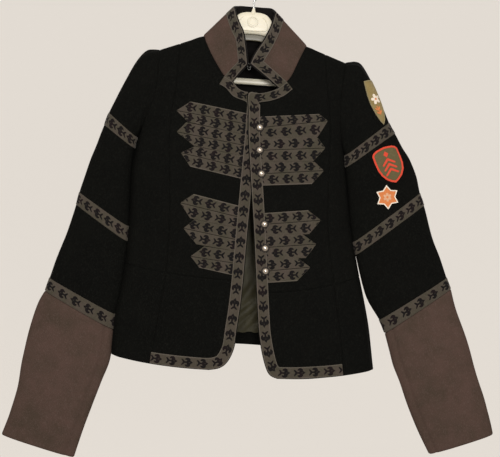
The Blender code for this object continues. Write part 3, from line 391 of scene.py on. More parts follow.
# Creases: from and to (x, z), depth and half width. Along each, its depth rises and falls as
# the part of a half turn that starts at the first share and spans the second.
CREASE_FADE = (0.12, 0.76)
CREASES = (
    (-176.0, -318.0, -118.0, -339.0, 1.3, 6.0),
    (-180.0, -300.0, -132.0, -296.0, 0.9, 6.0),
    (-168.0, -345.0, -140.0, -372.0, 0.7, 6.0),
    (168.0, -332.0, 132.0, -352.0, 1.0, 6.0),
    (160.0, -310.0, 138.0, -300.0, 0.7, 6.0),
    (-150.0, -548.0, -157.0, -668.0, 1.2, 11.0),
    (-96.0, -560.0, -104.0, -674.0, 0.8, 13.0),
    (118.0, -566.0, 128.0, -684.0, 0.9, 13.0),
    (196.0, -556.0, 212.0, -672.0, 1.3, 10.0),
)
LINING_CREASES = (
    (-28.0, -626.0, 50.0, -567.0, 6.0, 5.0),
    (-4.0, -640.0, 48.0, -576.0, 5.0, 4.5),
    (-10.0, -594.0, 40.0, -525.0, 4.5, 6.0),
    (6.0, -648.0, 52.0, -606.0, 4.0, 4.0),
    (-20.0, -560.0, 14.0, -500.0, 3.0, 7.0),
    (-10.0, -428.0, 20.0, -490.0, 2.0, 9.0),
)
SLEEVE_CREASES = (
    (-214.0, -330.0, -262.0, -352.0, 1.2, 6.0),
    (-212.0, -372.0, -250.0, -402.0, 1.0, 6.0),
    (-216.0, -470.0, -268.0, -500.0, 1.2, 8.0),
    (-232.0, -520.0, -300.0, -530.0, 0.9, 9.0),
    (200.0, -352.0, 252.0, -352.0, 1.2, 6.0),
    (206.0, -402.0, 262.0, -408.0, 1.1, 7.0),
    (226.0, -492.0, 290.0, -498.0, 1.2, 8.0),
    (262.0, -540.0, 330.0, -520.0, 0.9, 9.0),
)

# Over how many cells of the grid the cloth turns flat at the underarm, a side seam or a shoulder
UNDERARM_EASE = 0.6
SIDE_EASE = 0.7
TOP_EASE = 0.8

# How far the body's sides and the sleeves' inner folds press against each other. The rows say
# where that begins, where it is full, and where it fades and ends; a sleeve's head is tucked in.
SIDE_PUSH = 1.6
SLEEVE_PUSH = 3.4
SLEEVE_PUSH_ROWS = {RIGHT: (0.5, 3.0, 17.0, 18.0), LEFT: (0.5, 3.0, 11.0, 13.0)}
CUFF_PUSH_ROWS = {RIGHT: (-2.0, -1.0, 1.2, 2.8), LEFT: (-2.0, -1.0, -1.0, -0.5)}
SLEEVE_TUCK = 2.6
SLEEVE_TUCK_ROWS = 2.0

# Ribbon: how high it stands over the cloth, its steps along and lines across, the half width
# of its UV map, and how wide and how low its rounded selvedges are
RIBBON_LAY = 0.12
RIBBON_THICK = 0.75
TRIM_THICK = 1.45
RIBBON_STEP = 2.6
RIBBON_LINES = (-1.0, -0.96, -0.88, -0.6, -0.3, 0.0, 0.3, 0.6, 0.88, 0.96, 1.0)
RIBBON_UV_HALF = 10.0
SELVEDGE_WIDTH = 0.05
SELVEDGE_DROP = 0.45

# Depths from which flat plans and rays are laid on the body
LINE_DEPTH = -45.0
FRONT_OF_ALL = -200.0

# Motifs: how high they stand over the ribbon, how finely and how far out they are drawn, how
# far from a cut end they stop, and the fewest points that a cut one may have
MOTIF_LIFT = 0.12
MOTIF_CELL = 0.62
MOTIF_REACH = 12.0
MOTIF_INSET = 0.5
MOTIF_LEAST_POINTS = 36

# Front trims: how far the dark edge of the cloth shows, the steps between two points of the
# line, and the height of one motif, the pitch and the heading of the motifs
TRIM_INSET = 1.2
TRIM_STEPS = 4
TRIM_MOTIFS = {RIGHT: (-472.0, 27.0, -1), LEFT: (-240.0, 26.4, 1)}

# Frogs: how far they reach under the trim, the gap between their two ribbons and the place of
# the paler line beside it, the first motif of each ribbon, and the pitch
FROG_TUCK = 9.0
FROG_GAP = 0.45
FROG_INNER_EDGE = 0.78
FROG_MOTIFS = {RIGHT: (1.4, 2.2), LEFT: (6.4, -8.0)}
FROG_PITCH = {RIGHT: 24.3, LEFT: 25.5}

# Bands of the sleeves and cuffs: the ring that each begins at, and its pitch; the collar's pitch
BANDS = {"upper": (6, 20.5), "lower": (11, 23.5), "cuff": (15, 27.0)}
COLLAR_PITCH = 25.5

# Cuffs: the seam beside the inner fold as a share of the way round, how narrow and how deep it
# is, and the creases beside it
CUFF_SEAM = 0.39
CUFF_SEAM_NARROW = 2.8
CUFF_SEAM_DEPTH = 2.0
CUFF_CREASES = (
    (-238.0, -646.0, -230.0, -690.0, 1.3, 2.6),
    (-231.0, -640.0, -224.0, -676.0, 1.1, 2.2),
    (-250.0, -652.0, -238.0, -700.0, 0.8, 4.0),
    (-262.0, -700.0, -300.0, -780.0, 1.0, 12.0),
    (-330.0, -640.0, -300.0, -720.0, 0.8, 12.0),
    (330.0, -640.0, 350.0, -720.0, 0.9, 12.0),
    (300.0, -690.0, 380.0, -740.0, 0.9, 14.0),
)

# Collar: how far it reaches under the neck's ribbon, and how far its rolled edge stands out
COLLAR_TUCK = 1.6
ROLLED_EDGE = 0.3

# Hanger: how finely it is drawn, the cone at its neck, and the lines raised on its plate
HANGER_STEPS = 5
HANGER_SIDES = 28
CONE_PROFILE = ((5.0, -69.0), (4.7, -66.5), (3.9, -64.2), (3.1, -62.0), (2.5, -59.8),
                (2.15, -58.4), (1.9, -58.0))
PLATE_SIDES = 48
PLATE_FACE = -5.2
PLATE_DISC_Z = -83.0
PLATE_RINGS = ((8.8, 1.0), (6.2, 0.6))
PLATE_LINE_WIRE = 0.9
PLATE_LINES = (
    ((-24.0, -97.5), (-12.0, -98.2), (0.0, -98.4), (12.0, -98.2), (24.0, -97.5)),
    ((24.0, -97.5), (26.6, -94.5), (26.2, -88.0), (23.0, -80.5), (18.0, -74.5)),
    ((-24.0, -97.5), (-26.6, -94.5), (-26.2, -88.0), (-23.0, -80.5), (-18.0, -74.5)),
)

# The lip behind the plate's lower edge, coloured as painted shade under the plate: rows of (x, top,
# bottom), its place and half depth
LIP_ROWS = ((0.0, -100.0, -114.8), (13.0, -100.5, -115.4), (25.0, -103.5, -118.0),
            (39.0, -110.5, -121.8), (52.0, -117.0, -124.4), (62.0, -122.5, -127.0))
LIP_STATIONS = 61
LIP_MIDDLE_Y = 2.6
LIP_HALF_DEPTH = 1.4

# Buttons: the dome's and the rim's profiles as (radius, height), and how high they stand
# The rim reaches past the dome and is near-black: partly the button's own blackened back plate,
# partly painted contact shadow round the dome.
BUTTON_RINGS = ((3.2, -0.8), (5.6, -0.4), (5.8, 0.6), (5.9, 1.2), (5.8, 2.2), (5.5, 3.2),
                (4.9, 4.25), (4.0, 5.15), (2.9, 5.85), (1.6, 6.3), (0.5, 6.45))
BUTTON_RIM_AND_SHADOW = ((5.4, -0.9), (7.2, -0.9), (7.5, -0.5), (7.5, 0.0), (7.2, 0.4), (6.3, 0.6),
              (5.4, 0.4))
BUTTON_SEAT = 1.3
BUTTON_SIDES = 48

# Patches: how finely and how far out they are drawn, their heights over the sleeve, and for
# each the looks of field and border, the border's width and its motifs (shape, look, height)
PATCH_CELL = 0.8
PATCH_REACH = 46.0
FIELD_TOP = 0.9
BORDER_TOP = 1.5
PATCH_LAYERS = {
    "pennant_patch": ("khaki_cloth", "khaki_thread", 1.8,
                      (("blossom", "white_thread", 1.4), ("sprig", "orange_thread", 1.5))),
    "shield_patch": ("olive_twill", "red_thread", 3.2, (("chevrons", "red_thread", 1.4),)),
    "star_patch": ("orange_thread", "white_thread", 1.9,
                   (("rosette", "pale_thread", 1.3), ("heart", "orange_thread", 1.4))),
}

# Room and lights: the room's profile from the floor to the top, in millimetres, its glow, and
# rows of (name, place, aim, size, power, colour)
ROOM_PROFILE = ((0.0, -2200.0), (2600.0, -2200.0), (4200.0, -2130.0), (5400.0, -1500.0),
                (6000.0, -200.0), (5800.0, 1700.0), (4600.0, 3400.0), (2400.0, 4300.0),
                (0.0, 4500.0))
ROOM_GLOW = np.array((0.525, 0.495, 0.46))
ROOM_GLOW_HEIGHTS = (-2.2, 4.5)
ROOM_GLOW_STOPS = ((0.0, 0.5), (0.009, 0.5), (0.028, 1.0), (0.5, 1.0), (1.0, 1.1))
ROOM_STEPS = 8
ROOM_SIDES = 96
ROOM_LEAST_RADIUS = 1.0
LIGHTS = (
    ("key", (-0.5, -2.15, 0.75), (0.0, 0.0, -0.4), (0.5, 0.4), 17.0, (1.0, 0.97, 0.93)),
    ("front", (0.3, -2.2, -0.25), (0.0, 0.0, -0.45), (0.4, 0.4), 27.0, (1.0, 0.98, 0.95)),
    ("back", (0.9, 2.6, 1.3), (0.0, 0.0, -0.4), (1.0, 0.8), 16.0, (1.0, 0.98, 0.95)),
)

# Camera: where it stands, its turns about X and about its own line of sight, and the half width
# that it takes in at a distance, in millimetres
CAMERA_PLACE = (0.011, -1.925, -0.448)
CAMERA_TILT = math.radians(90.0)
CAMERA_ROLL = math.radians(2.6)
CAMERA_VIEW = (437.5, 1900.0)


def catmull_rom(a, b, c, d, t):
    return 0.5 * (2 * b + (c - a) * t + (2 * a - 5 * b + 4 * c - d) * t ** 2
                  + (3 * b - a - 3 * c + d) * t ** 3)


def front_levels(side):
    """The rows of a front, filled in between its levels: inner, inner_z, inner_depth, seam,
    outer, outer_z, outer_depth and bend."""
    rows = np.array([(inner, inner_z, inner_depth, seam, outer, outer_z, outer_depth, bend)
                     for (inner, inner_z, seam, outer, outer_z),
                     (_, inner_depth, outer_depth, bend, _) in zip(FRONT_EDGES[side], LEVELS)])
    filled = []
    for index, (*_, steps) in enumerate(LEVELS[:-1]):
        before = rows[max(index - 1, 0)]
        after = rows[min(index + 2, len(rows) - 1)]
        filled += [catmull_rom(before, rows[index], rows[index + 1], after, step / steps)
                   for step in range(steps)]
    levels = np.array(filled + [rows[-1]])
    levels[:, -2] = np.maximum(levels[:, -2], 0.0)
    return levels


def row_of(level_name):
    """The mesh row at which a named level of a front lies."""
    names = [name for name, *_ in LEVELS]
    return sum(steps for *_, steps in LEVELS[:names.index(level_name)])


def unit(vectors):
    return vectors / np.maximum(np.linalg.norm(vectors, axis=-1, keepdims=True), 1e-9)


def grid_normals(points, inside, closed=False):
    """Unit normals of a grid of points, turned away from the points inside it."""
    down = np.gradient(points, axis=0)
    if closed:
        around = np.roll(points, -1, axis=1) - np.roll(points, 1, axis=1)
    else:
        around = np.gradient(points, axis=1)
    normals = unit(np.cross(down, around))
    if np.sum(normals * (points - inside)) < 0:
        normals = -normals
    return normals


def oval(share, power):
    return np.power(np.maximum(1 - np.power(np.abs(share), OVAL_POWER), 0.0), power)


def side_power(outer_depth):
    """The oval's power: round at a side seam, and flatter the deeper an armhole's edge lies."""
    armhole = min(outer_depth / ARMHOLE_DEPTH, 1.0)
    return SIDE_ROUNDNESS + (1 - SIDE_ROUNDNESS) * armhole


def squared_circle(angles, squareness):
    """Cosines and sines of a circle whose corners are filled out as the squareness falls to 0."""
    cosine, sine = np.cos(angles), np.sin(angles)
    return (np.sign(cosine) * np.abs(cosine) ** squareness,
            np.sign(sine) * np.abs(sine) ** squareness)


def front_grid(side):
    """The outer surface of one front, a row for each level and a column for each width."""
    levels = front_levels(side)
    centre = np.linspace(0.0, 1.0, CENTRE_PANEL_COLUMNS + 1)
    rows = []
    for inner, inner_z, inner_depth, seam, outer, outer_z, outer_depth, bend in levels:
        across = np.concatenate([inner + (seam - inner) * centre,
                                 seam + (outer - seam) * np.array(SIDE_PANEL_FRACTIONS)])
        power = side_power(outer_depth)
        shape = oval(across / outer, power) / oval(inner / outer, power)
        depth = outer_depth + (inner_depth - outer_depth) * shape
        if side == LEFT:
            ramp = np.clip((FRONT_LAP_WIDTH - (across - inner))
                           / (FRONT_LAP_WIDTH - FRONT_LAP_FLAT), 0.0, 1.0)
            fade = np.interp(inner_depth, (FRONT_LAP_FROM_DEPTH, FRONT_LAP_FULL_DEPTH), (0.0, 1.0))
            depth = depth + FRONT_LAP * fade * ramp * ramp * (3 - 2 * ramp)
        part = (across - inner) / (outer - inner)
        height = inner_z + (outer_z - inner_z) * np.power(part, bend)
        rows.append(np.stack([side * across, -depth, height], axis=1))
    return np.array(rows)


def body_inside(points):
    """The line inside a panel of the body that its normals turn away from."""
    inside = points.copy()
    inside[..., 0] *= INSIDE_SHARE
    inside[..., 1] = 0.0
    return inside


def back_half(side):
    """Half of the back's outer surface, from its middle to the armhole and side seam.

    Its top row follows the neck and the shoulder seam; the rows below settle into plain ovals.
    """
    inner, inner_z, _, _, outer, outer_z, outer_depth, bend = front_levels(side).T
    share = np.array(BACK_FRACTIONS)
    on_neck = share < BACK_NECK_FRACTION
    neck = np.sqrt(np.maximum(1 - (share / BACK_NECK_FRACTION) ** 2, 0.0))
    shoulder = np.clip((share - BACK_NECK_FRACTION) / (1 - BACK_NECK_FRACTION), 0.0, 1.0)
    top_across = np.where(on_neck, inner[0] * share / BACK_NECK_FRACTION,
                          inner[0] + (outer[0] - inner[0]) * shoulder)
    top_z = np.where(on_neck, inner_z[0] + (BACK_NECK_Z - inner_z[0]) * neck,
                     inner_z[0] + (outer_z[0] - inner_z[0]) * shoulder)
    known = [0, row_of("underarm"), row_of("waist"), -1]
    middle_z = np.interp(-outer_z, -outer_z[known],
                         [BACK_NECK_Z, BACK_UNDERARM_Z, BACK_WAIST_Z, BACK_HEM_Z])
    heights, depths = np.array(BACK_DEPTHS).T
    middle_depth = np.interp(-middle_z, -heights, depths)
    rows = []
    for row in range(len(outer)):
        settled = min(row / BACK_NECK_ROWS, 1.0)
        settled = settled * settled * (3 - 2 * settled)
        shape = settled * oval(share, side_power(outer_depth[row])) + (1 - settled) * neck
        depth = outer_depth[row] + (middle_depth[row] - outer_depth[row]) * shape
        across = ((1 - settled) * (top_across + (outer[row] - outer[0]) * share)
                  + settled * outer[row] * share)
        level = (middle_z[row]
                 + (outer_z[row] - middle_z[row]) * share ** max(bend[row], BACK_LEVEL_BEND))
        height = (1 - settled) * (top_z + outer_z[row] - outer_z[0]) + settled * level
        rows.append(np.stack([side * across, depth, height], axis=1))
    return np.array(rows)


def back_grid():
    right = back_half(RIGHT)[:, ::-1]
    left = back_half(LEFT)
    middle = (right[:, -1:] + left[:, :1]) / 2
    return np.concatenate([right[:, :-1], middle, left[:, 1:]], axis=1)


def armhole_ring(front, back, outer_column):
    """The body's armhole edge as a closed ring: down the front edge and up the back one."""
    underarm = row_of("underarm")
    front_edge = front[:underarm + 1, -1]
    back_edge = back[underarm - 1:0:-1, outer_column]
    ring = np.concatenate([front_edge, back_edge])
    ring[0, 1] = 0.0
    ring[underarm, 1] = 0.0
    return ring


def ring_points(side, ring, angles):
    """One ring of a sleeve: a flat oval between its outer and inner folds."""
    outer, outer_z, inner, inner_z, depth, bow, gather = ring
    fold_out = np.array([side * outer, 0.0, outer_z])
    fold_in = np.array([side * inner, 0.0, inner_z])
    middle = (fold_out + fold_in) / 2
    reach = (fold_out - fold_in) / 2
    wide, thick = squared_circle(angles, SLEEVE_SQUARENESS)
    points = middle + wide[:, None] * reach
    points[:, 0] -= side * bow * np.sin(angles) ** 2
    points[:, 1] = -thick * depth
    pleat = gather * np.where(np.arange(len(angles)) % 2, -1.0, 1.0)
    pleat = pleat * np.maximum(np.cos(angles / 2), 0.0) ** 2
    return points + unit(points - middle) * pleat[:, None]


def sleeve_grid(side, folds, depths, gathers=(), start_ring=None):
    """A sleeve's or cuff's outer surface, from the armhole's own points where it has them."""
    plain = [(0.0, 0.0)] * (len(folds) - len(gathers))
    rings = [(*fold, depth, *gather)
             for fold, depth, gather in zip(folds, depths, [*gathers, *plain])]
    count = 2 * row_of("underarm")
    even = np.arange(count) * 2 * math.pi / count
    rows = []
    angles = even
    if start_ring is not None:
        top, bottom = start_ring[0], start_ring[count // 2]
        share = (start_ring - top) @ (bottom - top) / np.sum((bottom - top) ** 2)
        start = np.arccos(np.clip(1 - 2 * share, -1.0, 1.0))
        start[count // 2 + 1:] = 2 * math.pi - start[count // 2 + 1:]
        rows.append(start_ring + np.array([side * SLEEVE_START_GAP, 0.0, 0.0]))
    for index, ring in enumerate(rings):
        if start_ring is not None:
            settled = min((index + 1) / EVEN_RING, 1.0)
            angles = start * (1 - settled) + even * settled
        rows.append(ring_points(side, ring, angles))
    points = np.array(rows)
    middles = np.repeat(points.mean(axis=1, keepdims=True), count, axis=1)
    return points, grid_normals(points, middles, closed=True)


def collar_station_tops(side, seam):
    """Top edge points of one half of the collar, for the stations along its neck seam."""
    steps = np.linalg.norm(np.diff(seam, axis=0), axis=1)
    parts = np.concatenate([[0.0], np.cumsum(steps)]) / steps.sum()
    table = np.array(COLLAR_TOPS[side])
    tops = np.stack([side * np.interp(parts, table[:, 0], table[:, 1]),
                     -np.interp(parts, table[:, 0], table[:, 2]),
                     np.interp(parts, table[:, 0], table[:, 3])], axis=1)
    return tops


def collar_grid(fronts, back):
    """The collar's outer surface: a column for each point of the body's own neck edge."""
    seams = {}
    tops = {}
    seam_column = len(BACK_FRACTIONS) - 1 - BACK_FRACTIONS.index(BACK_NECK_FRACTION)
    middle = len(BACK_FRACTIONS) - 1
    for side in (RIGHT, LEFT):
        end = row_of("collar end")
        edge = fronts[side][:end + 1, 0][::-1]
        step = 1 if side == RIGHT else -1
        first = seam_column if side == RIGHT else -1 - seam_column + back.shape[1]
        neck = back[0, [first + step * k for k in range(1, middle - seam_column + 1)]]
        seam = np.concatenate([edge, neck])
        seams[side] = seam
        tops[side] = collar_station_tops(side, seam)
    seam = np.concatenate([seams[RIGHT], seams[LEFT][-2::-1]])
    top = np.concatenate([tops[RIGHT], tops[LEFT][-2::-1]])
    height = np.linalg.norm(top - seam, axis=1)
    trim = 1 - COLLAR_TRIM_WIDTH / height
    foot = COLLAR_LIFT / height
    outward = unit(seam * np.array([1.0, 1.0, 0.0]))
    shares = [foot + (trim - foot) * part for part in COLLAR_WALL_PARTS]
    shares += [trim, (1 + trim) / 2, np.ones_like(trim)]
    points = np.array([seam + (top - seam) * share[:, None]
                       + outward * (COLLAR_BULGE * np.sin(np.pi * share))[:, None]
                       for share in shares])
    return points, grid_normals(points, points * np.array([0.0, 0.0, 1.0]))


def offset_line(line, widths):
    """An open line in the XZ plane moved to its left by the given widths, with mitred corners."""
    directions = unit(np.diff(line, axis=0))
    before = np.concatenate([directions[:1], directions])
    after = np.concatenate([directions, directions[-1:]])
    middle = unit(before + after)
    left = np.stack([-middle[:, 1], middle[:, 0]], axis=1)
    mitre = np.maximum(np.sum(middle * after, axis=1), 0.5)
    return line + left * (widths / mitre)[:, None]


def surface_point(points, normals, row, column):
    """The place and normal on a grid between its rows and columns."""
    low_row, low_column = int(row), int(column)
    down, across = row - low_row, column - low_column
    place = np.zeros(3)
    normal = np.zeros(3)
    for step_row, share_row in ((0, 1 - down), (1, down)):
        for step_column, share_column in ((0, 1 - across), (1, across)):
            share = share_row * share_column
            place += points[low_row + step_row, low_column + step_column] * share
            normal += normals[low_row + step_row, low_column + step_column] * share
    return place, unit(normal)


def facing_frame(place, normal, up):
    """A frame at a place in millimetres: X to the right, Y up along the cloth, Z outwards."""
    outwards = Vector(normal).normalized()
    right = Vector(up).cross(outwards).normalized()
    upwards = outwards.cross(right)
    frame = Matrix((right, upwards, outwards)).transposed().to_4x4()
    frame.translation = Vector(place) * MM
    return frame


def sample(points, rows, columns, closed=False):
    """Smooth points at any row and column numbers of a coarse grid."""
    def along(grid, wanted, wraps):
        wanted = np.asarray(wanted, float)
        count = len(grid)
        low = np.floor(wanted).astype(int)
        if not wraps:
            low = np.clip(low, 0, count - 2)
        t = (wanted - low).reshape(-1, 1, 1)

        def at(step):
            index = low + step
            return grid[index % count] if wraps else grid[np.clip(index, 0, count - 1)]

        return catmull_rom(at(-1), at(0), at(1), at(2), t)

    down = along(points, rows, False)
    return along(down.transpose(1, 0, 2), columns, closed).transpose(1, 0, 2)


def spread(first, last, steps=CLOTH_STEPS, edges=True):
    """Row or column numbers from first to last, with extra ones beside both ends."""
    wanted = np.linspace(first, last, round((last - first) * steps) + 1)
    if edges:
        near = np.array(EDGE_STEPS)
        wanted = np.concatenate([wanted, first + near, last - near])
    return np.unique(np.round(wanted, 4))


def noise(points, scale, seed):
    """Smooth noise from -1 to 1 whose waves have the given sizes along X, Y and Z."""
    place = points / np.array(scale) + seed * NOISE_SHIFT
    low = np.floor(place).astype(np.int64)
    t = place - low
    t = t * t * (3 - 2 * t)
    total = np.zeros(points.shape[:-1])
    for corner in np.ndindex(2, 2, 2):
        cell = low + np.array(corner)
        mixed = np.bitwise_xor.reduce(cell * np.array(NOISE_PRIMES), axis=-1)
        value = mixed * NOISE_FACTOR % NOISE_RANGE / (NOISE_RANGE / 2) - 1.0
        share = np.ones_like(total)
        for axis in range(3):
            share = share * (t[..., axis] if corner[axis] else 1 - t[..., axis])
        total += value * share
    return total


def creases(points, lines):
    """How far the creases of a table draw a point in."""
    plan = points[..., [0, 2]]
    drop = np.zeros(points.shape[:-1])
    for start_x, start_z, end_x, end_z, depth, width in lines:
        start = np.array([start_x, start_z])
        line = np.array([end_x, end_z]) - start
        share = np.clip((plan - start) @ line / (line @ line), 0.0, 1.0)
        away = np.linalg.norm(plan - start - share[..., None] * line, axis=-1)
        fade = np.sin(np.pi * (CREASE_FADE[0] + CREASE_FADE[1] * share))
        drop += depth * np.exp(-(away / width) ** 2) * fade
    return drop


def ramp(values, low, high):
    share = np.clip((values - low) / (high - low), 0.0, 1.0)
    return share * share * (3 - 2 * share)


def run_lengths(points, axis):
    steps = np.linalg.norm(np.diff(points, axis=axis), axis=-1)
    lengths = np.cumsum(steps, axis=axis)
    pad = [(0, 0), (0, 0)]
    pad[axis] = (1, 0)
    return np.pad(lengths, pad)


def edge_distances(points, closed=False):
    """How far each point of a grid lies from the grid's nearest edge."""
    down = run_lengths(points, 0)
    nearest = np.minimum(down, down[-1:] - down)
    if not closed:
        across = run_lengths(points, 1)
        nearest = np.minimum(nearest, np.minimum(across, across[:, -1:] - across))
    return nearest


def cloth_object(name, outer, inner, uv_across, uv_down, closed=False):
    """A closed wall of cloth between two grids, in millimetres, with a UV map in decimetres."""
    rows, columns = outer.shape[:2]
    spans = columns if closed else columns - 1
    row, column = np.meshgrid(np.arange(rows - 1), np.arange(spans), indexing="ij")
    corners = np.stack([np.stack([row, column], -1), np.stack([row, column + 1], -1),
                        np.stack([row + 1, column + 1], -1), np.stack([row + 1, column], -1)], 2)
    corners = corners.reshape(-1, 4, 2)
    number = corners[..., 0] * columns + corners[..., 1] % columns
    half = rows * columns
    faces = [number, number[:, ::-1] + half]
    places = [corners, corners[:, ::-1]]
    rim = [[(0, c + 1), (0, c)] for c in range(spans)]
    rim += [[(rows - 1, c), (rows - 1, c + 1)] for c in range(spans)]
    if not closed:
        rim += [[(r, 0), (r + 1, 0)] for r in range(rows - 1)]
        rim += [[(r + 1, columns - 1), (r, columns - 1)] for r in range(rows - 1)]
    rim = np.array(rim)
    ends = rim[..., 0] * columns + rim[..., 1] % columns
    faces.append(np.concatenate([ends, ends[:, ::-1] + half], axis=1))
    places.append(np.concatenate([rim, rim[:, ::-1]], axis=1))
    faces = np.concatenate(faces)
    places = np.concatenate(places)
    points = np.concatenate([outer.reshape(-1, 3), inner.reshape(-1, 3)]) * MM
    a, b, c = (points[faces[:, k]] for k in (0, 1, 2))
    if np.sum(a * np.cross(b, c)) < 0:
        faces = faces[:, ::-1]
        places = places[:, ::-1]
    mesh = bpy.data.meshes.new(name)
    mesh.from_pydata(points.tolist(), [], faces.tolist())
    if closed:
        uv_across = np.concatenate([uv_across, uv_across[:, -1:] * 2 - uv_across[:, -2:-1]], 1)
        uv_down = np.concatenate([uv_down, uv_down[:, :1]], 1)
    uv = np.stack([uv_across[places[..., 0], places[..., 1]],
                   -uv_down[places[..., 0], places[..., 1]]], -1) / UV_UNIT
    layer = mesh.uv_layers.new(name="UVMap")
    layer.data.foreach_set("uv", uv.reshape(-1).astype(np.float32))
    mesh.shade_smooth()
    mesh.set_sharp_from_angle(angle=CLOTH_SHARP)
    return link(name, mesh)


def link(name, shape):
    thing = bpy.data.objects.new(name, shape)
    bpy.context.scene.collection.objects.link(thing)
    return thing


def place_piece(thing, material, slot, *nodes):
    """Gives a finished piece its material and its body, and hides the part's meshes of the nodes
    that it stands for.
    """
    thing.data.materials.append(material)
    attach(thing, "root")
    if nodes:
        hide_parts(*nodes)


def declare_cloth(points, closed=False):
    if closed:
        points = np.concatenate([points, points[:, :1]], axis=1)
    width = run_lengths(points, 1)[:, -1].max() * MM
    length = run_lengths(points, 0)[-1].max() * MM
    a, b, c, d = points[:-1, :-1], points[:-1, 1:], points[1:, 1:], points[1:, :-1]
    area = (np.linalg.norm(np.cross(b - a, c - a), axis=-1).sum()
            + np.linalg.norm(np.cross(c - a, d - a), axis=-1).sum()) / 2 * MM * MM
    area = min(max(area, LEAST_AREA_SHARE * width * length), width * length)


def add_cloth(name, surface, looks, look, nodes, outside=0.0, thickness=WOOL, closed=False,
              dip=SEAM_DIP):
    """A piece of cloth: its edges are rounded, and its seams draw in."""
    points, normals = surface
    away = edge_distances(points, closed)
    seam = dip * np.exp(-(away / SEAM_REACH) ** 2)
    round_off = EDGE_ROUND * thickness / 2 * np.exp(-(away / (thickness / 2)) ** 2)
    outer = points + normals * (outside - seam - round_off)[..., None]
    inner = points + normals * (outside - thickness + round_off * INNER_ROUND)[..., None]
    thing = cloth_object(name, outer, inner, run_lengths(points, 1), run_lengths(points, 0),
                         closed)
    place_piece(thing, looks[look], look, *nodes)
    declare_cloth(points, closed)


class Skin:
    """A finished surface that ribbons, buttons and patches are laid on."""

    def __init__(self, points, normals, closed=False):
        rows, columns = points.shape[:2]
        faces = []
        for row in range(rows - 1):
            for column in range(columns if closed else columns - 1):
                beside = (column + 1) % columns
                faces.append((row * columns + column, row * columns + beside,
                              (row + 1) * columns + beside, (row + 1) * columns + column))
        flat = points.reshape(-1, 3)
        self.tree = BVHTree.FromPolygons([tuple(p) for p in flat], faces)
        self.faces = np.array(faces)
        self.points = flat
        self.normals = normals.reshape(-1, 3)

    def facing(self, place, index):
        """The smooth normal of the surface at a place on one of its faces."""
        corners = self.faces[index]
        away = np.linalg.norm(self.points[corners] - np.array(place), axis=1)
        share = 1 / np.maximum(away, 0.05) ** 2
        return unit((self.normals[corners] * share[:, None]).sum(axis=0))

    def seat(self, points, from_front):
        """Where the points lie on the surface, and the normals there."""
        places = np.empty((len(points), 3))
        facings = np.empty((len(points), 3))
        for index, point in enumerate(points):
            hit = (None,)
            if from_front:
                start = Vector((point[0], FRONT_OF_ALL, point[2]))
                hit = self.tree.ray_cast(start, Vector((0.0, 1.0, 0.0)))
            if hit[0] is None:
                hit = self.tree.find_nearest(Vector(point))
            places[index] = hit[0]
            facings[index] = self.facing(hit[0], hit[2])
        return places, facings


class Strip:
    """A ribbon between two lines of points that are laid on a skin.

    The cuts say where it starts and ends: how far along at its edge and at its inner line.
    The selvedges are the UV places of its two sides, where 1 has the paler woven line.
    """

    def __init__(self, edge, inner, skin, from_front=False, closed=False, cuts=None,
                 selvedges=(-1.0, 1.0)):
        self.skin = skin
        self.selvedges = selvedges
        self.from_front = from_front
        self.closed = closed
        if closed:
            edge = np.concatenate([edge, edge[:1]])
            inner = np.concatenate([inner, inner[:1]])
        self.edge, self.inner = edge, inner
        middle = (edge + inner) / 2
        steps = np.linalg.norm(np.diff(middle, axis=0), axis=1)
        self.runs = np.concatenate([[0.0], np.cumsum(steps)])
        self.length = self.runs[-1]
        self.width = np.linalg.norm(edge - inner, axis=1).mean()
        self.cuts = np.array(cuts or ((0.0, 0.0), (self.length, self.length)))

    def ends(self, across):
        share = (across + 1) / 2
        return [cut[0] * (1 - share) + cut[1] * share for cut in self.cuts]

    def at(self, along, across):
        """Places and normals on the skin; across runs from -1 on the edge to 1 within."""
        if self.closed:
            along = along % self.length
        lines = []
        for line in (self.edge, self.inner):
            lines.append(np.stack([np.interp(along, self.runs, line[:, k]) for k in range(3)], -1))
        share = ((across + 1) / 2)[:, None]
        return self.skin.seat(lines[0] * (1 - share) + lines[1] * share, self.from_front)

    def grid(self):
        """A grid of places on the skin, with how far along and across each of them lies."""
        shares = np.linspace(0.0, 1.0, max(round(self.length / RIBBON_STEP), 2) + 1)
        if self.closed:
            shares = shares[:-1]
        across = np.array(RIBBON_LINES)
        start, end = self.ends(across)
        along = start + shares[:, None] * (end - start)
        across = np.broadcast_to(across, along.shape)
        places, facings = self.at(along.reshape(-1), across.reshape(-1))
        return places.reshape(*along.shape, 3), facings.reshape(*along.shape, 3), along, across


def strip_object(name, strip, thickness):
    """One length of ribbon with rounded selvedges."""
    points, normals, along, across = strip.grid()
    edge = np.exp(-((1 - np.abs(across)) / SELVEDGE_WIDTH) ** 2)
    lift = RIBBON_LAY + thickness * (1 - SELVEDGE_DROP * edge)
    outer = points + normals * lift[..., None]
    inner = points + normals * RIBBON_LAY
    across = np.interp(across, (-1.0, 1.0), strip.selvedges) * RIBBON_UV_HALF
    if strip.closed:
        outer, inner = outer.transpose(1, 0, 2), inner.transpose(1, 0, 2)
        return cloth_object(name, outer, inner, along.T, across.T, True)
    return cloth_object(name, outer, inner, across, along, False)


def blob(x, y, links):
    """Distance from a chain of round joints, each (x, y, radius), to the points of a plane."""
    nearest = np.full(x.shape, 1e9)
    for (ax, ay, ar), (bx, by, br) in zip(links, links[1:]):
        dx, dy = bx - ax, by - ay
        share = np.clip(((x - ax) * dx + (y - ay) * dy) / max(dx * dx + dy * dy, 1e-9), 0.0, 1.0)
        away = np.hypot(x - ax - share * dx, y - ay - share * dy) - (ar + share * (br - ar))
        nearest = np.minimum(nearest, away)
    return nearest


